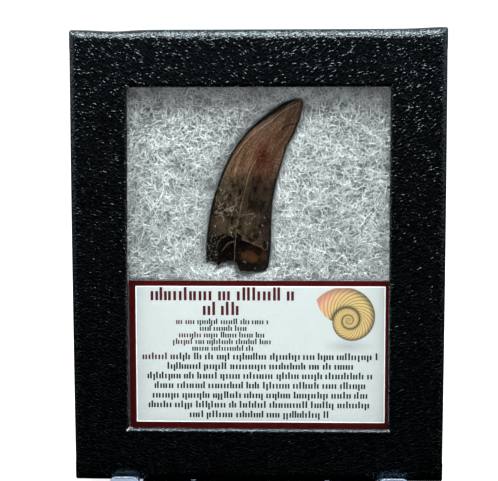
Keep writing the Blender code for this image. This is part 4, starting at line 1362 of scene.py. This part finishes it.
def colour_card(shape, front, areas):
    """Gives each piece of the card's front its ink, and lays a map in millimetres over the picture."""
    layer = shape.loops.layers.uv.new("print")
    rows = {}
    for area in areas:
        rows.setdefault(round(area[1] // 1), []).append(area)
    for face in shape.faces:
        for loop in face.loops:
            loop[layer].uv = (loop.vert.co.x - PICTURE_CENTRE[0], loop.vert.co.z - PICTURE_CENTRE[1])
    for face in front:
        spot = face.calc_center_median()
        kind = CARD_RED
        if within(spot, RED_INSIDE):
            kind = CARD_WHITE
        if within(spot, WHITE_INSIDE):
            kind = CARD_PAPER
        if within(spot, PICTURE):
            kind = CARD_PICTURE
        for shift in range(-TALLEST_STROKE, 2):
            for area in rows.get(round(spot.z // 1) + shift, ()):
                if within(spot, area):
                    kind = area[4]
        face.material_index = kind


# The pins and the easel


def make_pin(name, side, height, steel):
    """A turned steel pin, driven in from one side of the case."""
    shape = bmesh.new()
    head_face = -PIN_HEAD_THICKNESS - GAP
    profile = [(0.0, head_face)]
    for step in range(1, PIN_HEAD_STEPS + 1):
        turn = math.radians(90 * step / PIN_HEAD_STEPS)
        drop = PIN_HEAD_THICKNESS / 2 * (1 - math.cos(turn))
        profile.append((PIN_HEAD_RADIUS * math.sin(turn), head_face + drop))
    profile += [
        (PIN_HEAD_RADIUS, -GAP - PIN_HEAD_EDGE), (PIN_HEAD_RADIUS - PIN_HEAD_EDGE, -GAP), (PIN_RADIUS, -GAP),
        (PIN_RADIUS, PIN_LENGTH - PIN_POINT), (0.0, PIN_LENGTH),
    ]
    points = [shape.verts.new((radius, 0.0, along)) for radius, along in profile]
    edges = [shape.edges.new(pair) for pair in zip(points, points[1:])]
    bmesh.ops.spin(
        shape, geom=points + edges, cent=(0, 0, 0), axis=(0, 0, 1), angle=math.tau, steps=32, use_merge=True,
    )
    bmesh.ops.remove_doubles(shape, verts=shape.verts, dist=0.001 * MM)
    place = Matrix.Translation((side * (CASE_WIDTH / 2 + SIDE_SWELL), PIN_DEPTH, height))
    bmesh.ops.transform(shape, matrix=place @ Matrix.Rotation(-side * math.pi / 2, 4, "Y"), verts=shape.verts)
    bmesh.ops.recalc_face_normals(shape, faces=shape.faces)
    pin = add_piece("turned_" + name, into_world(shape), steel)
    shade_round(pin)
    return fit(pin, "pin_steel", name)


def sheet_grid(columns, rows, missing):
    """A flat mesh of quads between the given lines, without the cells that are missing."""
    places = [[(column, row, SHEET / 2) for column in columns] for row in rows]
    shape = shaped_grid(np.array(places))
    gone = [face for face in shape.faces if missing(face.calc_center_median())]
    bmesh.ops.delete(shape, geom=gone, context="FACES")
    return shape


def draw_out(shape, edges, path):
    """Extrudes edges along a path of (depth, height) steps, and returns the last edges."""
    for step in path:
        made = bmesh.ops.extrude_edge_only(shape, edges=edges)["geom"]
        verts = [item for item in made if isinstance(item, bmesh.types.BMVert)]
        edges = [item for item in made if isinstance(item, bmesh.types.BMEdge)]
        edges = [edge for edge in edges if all(vert in verts for vert in edge.verts)]
        bmesh.ops.translate(shape, vec=(0, step[0], step[1]), verts=verts)
    return edges


def bend_steps(direction, turn, straight_run):
    """Steps of a bend up from the flat, starting backwards (1) or forwards (-1), then a straight run."""
    path = []
    for step in range(BEND_STEPS):
        start = turn * step / BEND_STEPS
        end = turn * (step + 1) / BEND_STEPS
        along = BEND_RADIUS * (math.sin(end) - math.sin(start))
        up = BEND_RADIUS * (math.cos(start) - math.cos(end))
        path.append((direction * along, up))
    path.append((direction * straight_run * math.cos(turn), straight_run * math.sin(turn)))
    return path


def round_corners(shape, corners, radius):
    verts = [min(shape.verts, key=lambda vert: (vert.co - Vector(corner)).length) for corner in corners]
    bmesh.ops.bevel(
        shape, geom=verts, offset=radius, offset_type="OFFSET", affect="VERTICES",
        segments=10, profile=0.5, material=-1,
    )


def make_easel(acrylic):
    """One clear sheet: two prongs with upturned lips, and a tongue cut free and bent up behind the case."""
    outer = (LIP_SPACING + LIP_WIDTH) / 2
    inner = outer - LIP_WIDTH
    slot = TONGUE_WIDTH / 2 + TONGUE_SLOT
    root_line = TONGUE_BEND_LINE - TONGUE_ROOT
    bar_line = EASEL_REAR - REAR_BAR
    columns = [-outer, -inner, -slot, -TONGUE_WIDTH / 2, TONGUE_WIDTH / 2, slot, inner, outer]
    rows = [LIP_BEND_LINE, PRONG_END, root_line, bar_line, EASEL_REAR]

    def missing(spot):
        between_prongs = abs(spot.x) < inner and spot.y < PRONG_END
        behind_tongue = abs(spot.x) < slot and root_line < spot.y < bar_line
        return between_prongs or behind_tongue

    shape = sheet_grid(columns, rows, missing)

    def edges_on(line, low, high):
        return [
            edge for edge in shape.edges
            if all(abs(vert.co.y - line) < CLOSE for vert in edge.verts)
            and all(low - CLOSE <= abs(vert.co.x) <= high + CLOSE for vert in edge.verts)
        ]

    lip_path = bend_steps(-1, LIP_TURN, LIP_STRAIGHT)
    tongue_path = [(TONGUE_ROOT, 0.0)] + bend_steps(1, TONGUE_TURN, TONGUE_LENGTH)
    lips = draw_out(shape, edges_on(LIP_BEND_LINE, inner, outer), lip_path)
    tongue = draw_out(shape, edges_on(root_line, 0.0, TONGUE_WIDTH / 2), tongue_path)
    lip_ends = [vert.co.copy() for edge in lips for vert in edge.verts]
    tongue_ends = [vert.co.copy() for edge in tongue for vert in edge.verts]
    plate_ends = [(side * outer, EASEL_REAR, SHEET / 2) for side in (-1, 1)]
    round_corners(shape, lip_ends, LIP_CORNER)
    round_corners(shape, tongue_ends, TONGUE_CORNER)
    round_corners(shape, plate_ends, PLATE_CORNER)
    bmesh.ops.recalc_face_normals(shape, faces=shape.faces)
    bmesh.ops.translate(shape, vec=(EASEL_OFFSET, SHIFT_BACK, 0), verts=shape.verts)
    easel = add_piece("clear_easel", shape, acrylic)
    thick = easel.modifiers.new("sheet", "SOLIDIFY")
    thick.thickness = SHEET
    thick.offset = 0.0
    thick.use_even_offset = True
    edge = easel.modifiers.new("edge", "BEVEL")
    edge.width = SHEET_EDGE
    edge.segments = 3
    edge.limit_method = "ANGLE"
    edge.angle_limit = math.radians(50)
    shade_round(easel)
    return fit(easel, "clear_acrylic", "display_easel")


# Stage, light and camera


def seen_straight(tree):
    """1 for what is seen directly or through a clear sheet, 0 for what is reflected or lights the case."""
    path = node(tree, "ShaderNodeLightPath")
    turned = sum_of(tree, "ABSOLUTE", sum_of(tree, "SUBTRACT", path.outputs["Glossy Depth"], 1.0))
    through = sum_of(tree, "GREATER_THAN", turned, 0.5)
    through = sum_of(tree, "MULTIPLY", through, path.outputs["Is Transmission Ray"])
    return sum_of(tree, "MAXIMUM", path.outputs["Is Camera Ray"], through)


def mix_by_sight(tree, other, straight, output):
    """Shows one shader to straight sight, and the other to reflections and to the light on the case."""
    inputs = {0: seen_straight(tree), 1: other.outputs[0], 2: straight.outputs[0]}
    both = node(tree, "ShaderNodeMixShader", inputs)
    tree.links.new(both.outputs[0], output.inputs["Surface"])


def make_floor():
    """A wide glowing floor that is seen white, and that keeps its light off the case."""
    material, tree, shader = new_material("pale_floor", (0.5, 0.5, 0.5), 0.7, specular=0.0)
    tone = noise_value(tree, object_place(tree), 3.0, 2.0, 0.5)
    tint = blend_colour(tree, tone, (0.48, 0.49, 0.49), (0.52, 0.525, 0.525))
    tree.links.new(tint, shader.inputs["Base Color"])
    shader.inputs["Emission Color"].default_value = (1.0, 1.0, 1.0, 1.0)
    shader.inputs["Emission Strength"].default_value = FLOOR_GLOW
    unlit = node(tree, "ShaderNodeBsdfDiffuse", {"Color": (0.002, 0.002, 0.002, 1.0)})
    mix_by_sight(tree, unlit, shader, tree.nodes["Material Output"])
    shape = bmesh.new()
    bmesh.ops.create_grid(shape, x_segments=8, y_segments=8, size=3.0)
    bmesh.ops.translate(shape, vec=(0, 0, -0.0002), verts=shape.verts)
    floor = add_piece("pale_floor", shape, material)


def add_light(name, place, aim, size, watts, colour):
    lamp = bpy.data.lights.new(name, "AREA")
    lamp.shape = "RECTANGLE"
    lamp.size, lamp.size_y = size
    lamp.energy = watts
    lamp.color = colour
    made = bpy.data.objects.new(name, lamp)
    made.location = place
    made.rotation_euler = (Vector(aim) - Vector(place)).to_track_quat("-Z", "Y").to_euler()
    bpy.context.scene.collection.objects.link(made)


def light_studio():
    """Soft light from overhead, a pale surround to look at, and little light from the front."""
    world = bpy.data.worlds.new("studio")
    bpy.context.scene.world = world
    world.use_nodes = True
    tree = world.node_tree
    way = node(tree, "ShaderNodeSeparateXYZ", {0: node(tree, "ShaderNodeTexCoord").outputs["Generated"]})
    overhead = spread(tree, way.outputs[2], 0.18, 0.32, 0.0, SKY_STRENGTH)
    beside = spread(tree, way.outputs[1], -0.55, -0.25, 0.0, SIDE_STRENGTH)
    dome = node(tree, "ShaderNodeBackground", {"Color": (0.82, 0.93, 1.0, 1.0)})
    tree.links.new(sum_of(tree, "MAXIMUM", overhead, beside), dome.inputs["Strength"])
    surround = node(tree, "ShaderNodeBackground", {"Color": (1.0, 1.0, 1.0, 1.0), "Strength": 1.0})
    mix_by_sight(tree, dome, surround, tree.nodes["World Output"])
    add_light("overhead", KEY_PLACE, KEY_AIM, KEY_SIZE, KEY_WATTS, KEY_COLOUR)
    for name, side in (("from_right", 1), ("from_left", -1)):
        place = (side * SIDE_PLACE[0], SIDE_PLACE[1], SIDE_PLACE[2])
        add_light(name, place, SIDE_AIM, SIDE_SIZE, SIDE_WATTS, SIDE_COLOUR)


def place_camera():
    data = bpy.data.cameras.new("camera")
    data.sensor_width = 36.0
    data.lens = CAMERA_FOCUS_PIXELS / IMAGE_WIDTH * data.sensor_width
    camera = bpy.data.objects.new("camera", data)
    bpy.context.scene.collection.objects.link(camera)
    turn = (CAMERA_AIM - CAMERA_PLACE).to_track_quat("-Z", "Y").to_matrix().to_4x4()
    roll = Matrix.Rotation(CAMERA_ROLL, 4, "Z")
    camera.matrix_world = CASE @ Matrix.Translation(CAMERA_PLACE) @ turn @ roll
    bpy.context.scene.camera = camera


def glaze_window(glass):
    """The pane is the CAD's own node, kept as it is with a new finish."""
    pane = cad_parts["glass_pane"]
    pane.data.materials.clear()
    pane.data.materials.append(glass)


def make_case(haze):
    """The lid with its slivers of bare board, the tray and the pane."""
    paper = leather_paper_group()
    make_lid(wrapping_paper("grained_black_paper", paper, LID_GRAIN, LID_ROUGH))
    board = bare_board()
    for corner in BARE_CORNERS:
        make_bare_corner(*corner, board)
    make_tray(wrapping_paper("tray_black_paper", paper, TRAY_GRAIN, TRAY_ROUGH))
    glaze_window(window_glass(haze))


def make_batting():
    """The pad, and over it the layers of loose fibre from the deepest to the highest; the pad and the sunken
    layers are darker as painted shade between the strands.
    """
    tone = fibre_tone_group()
    # The pad's grey, darker than the loose fibre, is painted shade for the gaps between the strands.
    make_pad(white_fibre("batting_pad_painted_shade", tone, (0.25, 0.265, 0.27), (0.65, 0.68, 0.685), 0.9))
    loose = white_fibre("loose_fibre", tone, (0.22, 0.235, 0.24), (0.97, 0.99, 0.99), 0.5)
    # The sunken fibre is a darker copy of the loose fibre: painted shade for the deeper layers.
    sunken = white_fibre("sunken_fibre_painted_shade", tone, (0.1, 0.105, 0.11), (0.7, 0.72, 0.72), 0.6)
    for layers, fibre in ((SUNKEN_LAYERS, sunken), (LOOSE_LAYERS, loose)):
        for layer in layers:
            make_fibres(*layer, fibre)


def card_finishes():
    """The card's materials, in the order of the numbers CARD_PAPER to CARD_PICTURE."""
    mottle = paper_mottle_group()
    return (
        printed("card_stock", mottle, (0.44, 0.462, 0.46), (0.485, 0.505, 0.503)),
        printed("black_ink", mottle, (0.003, 0.003, 0.004), (0.008, 0.0085, 0.009)),
        printed("dark_red_ink", mottle, (0.04, 0.002, 0.002), (0.065, 0.003, 0.003)),
        printed("red_border_ink", mottle, (0.035, 0.001, 0.0012), (0.055, 0.0015, 0.002)),
        printed("bright_white_line", mottle, (0.92, 0.92, 0.9), (0.98, 0.97, 0.95)),
        shell_print(),
    )


def main():
    bpy.context.scene.view_settings.view_transform = "Standard"
    place_camera()
    light_studio()
    make_floor()

    haze = haze_group()
    make_case(haze)
    make_tooth(fossil_tooth())
    make_batting()
    make_card(*card_finishes())
    steel = pin_steel()
    for side_name, side in (("left", -1), ("right", 1)):
        for level, height in PIN_HEIGHTS.items():
            make_pin(f"pin_{side_name}_{level}", side, height, steel)
    make_easel(clear_acrylic(haze))


main()
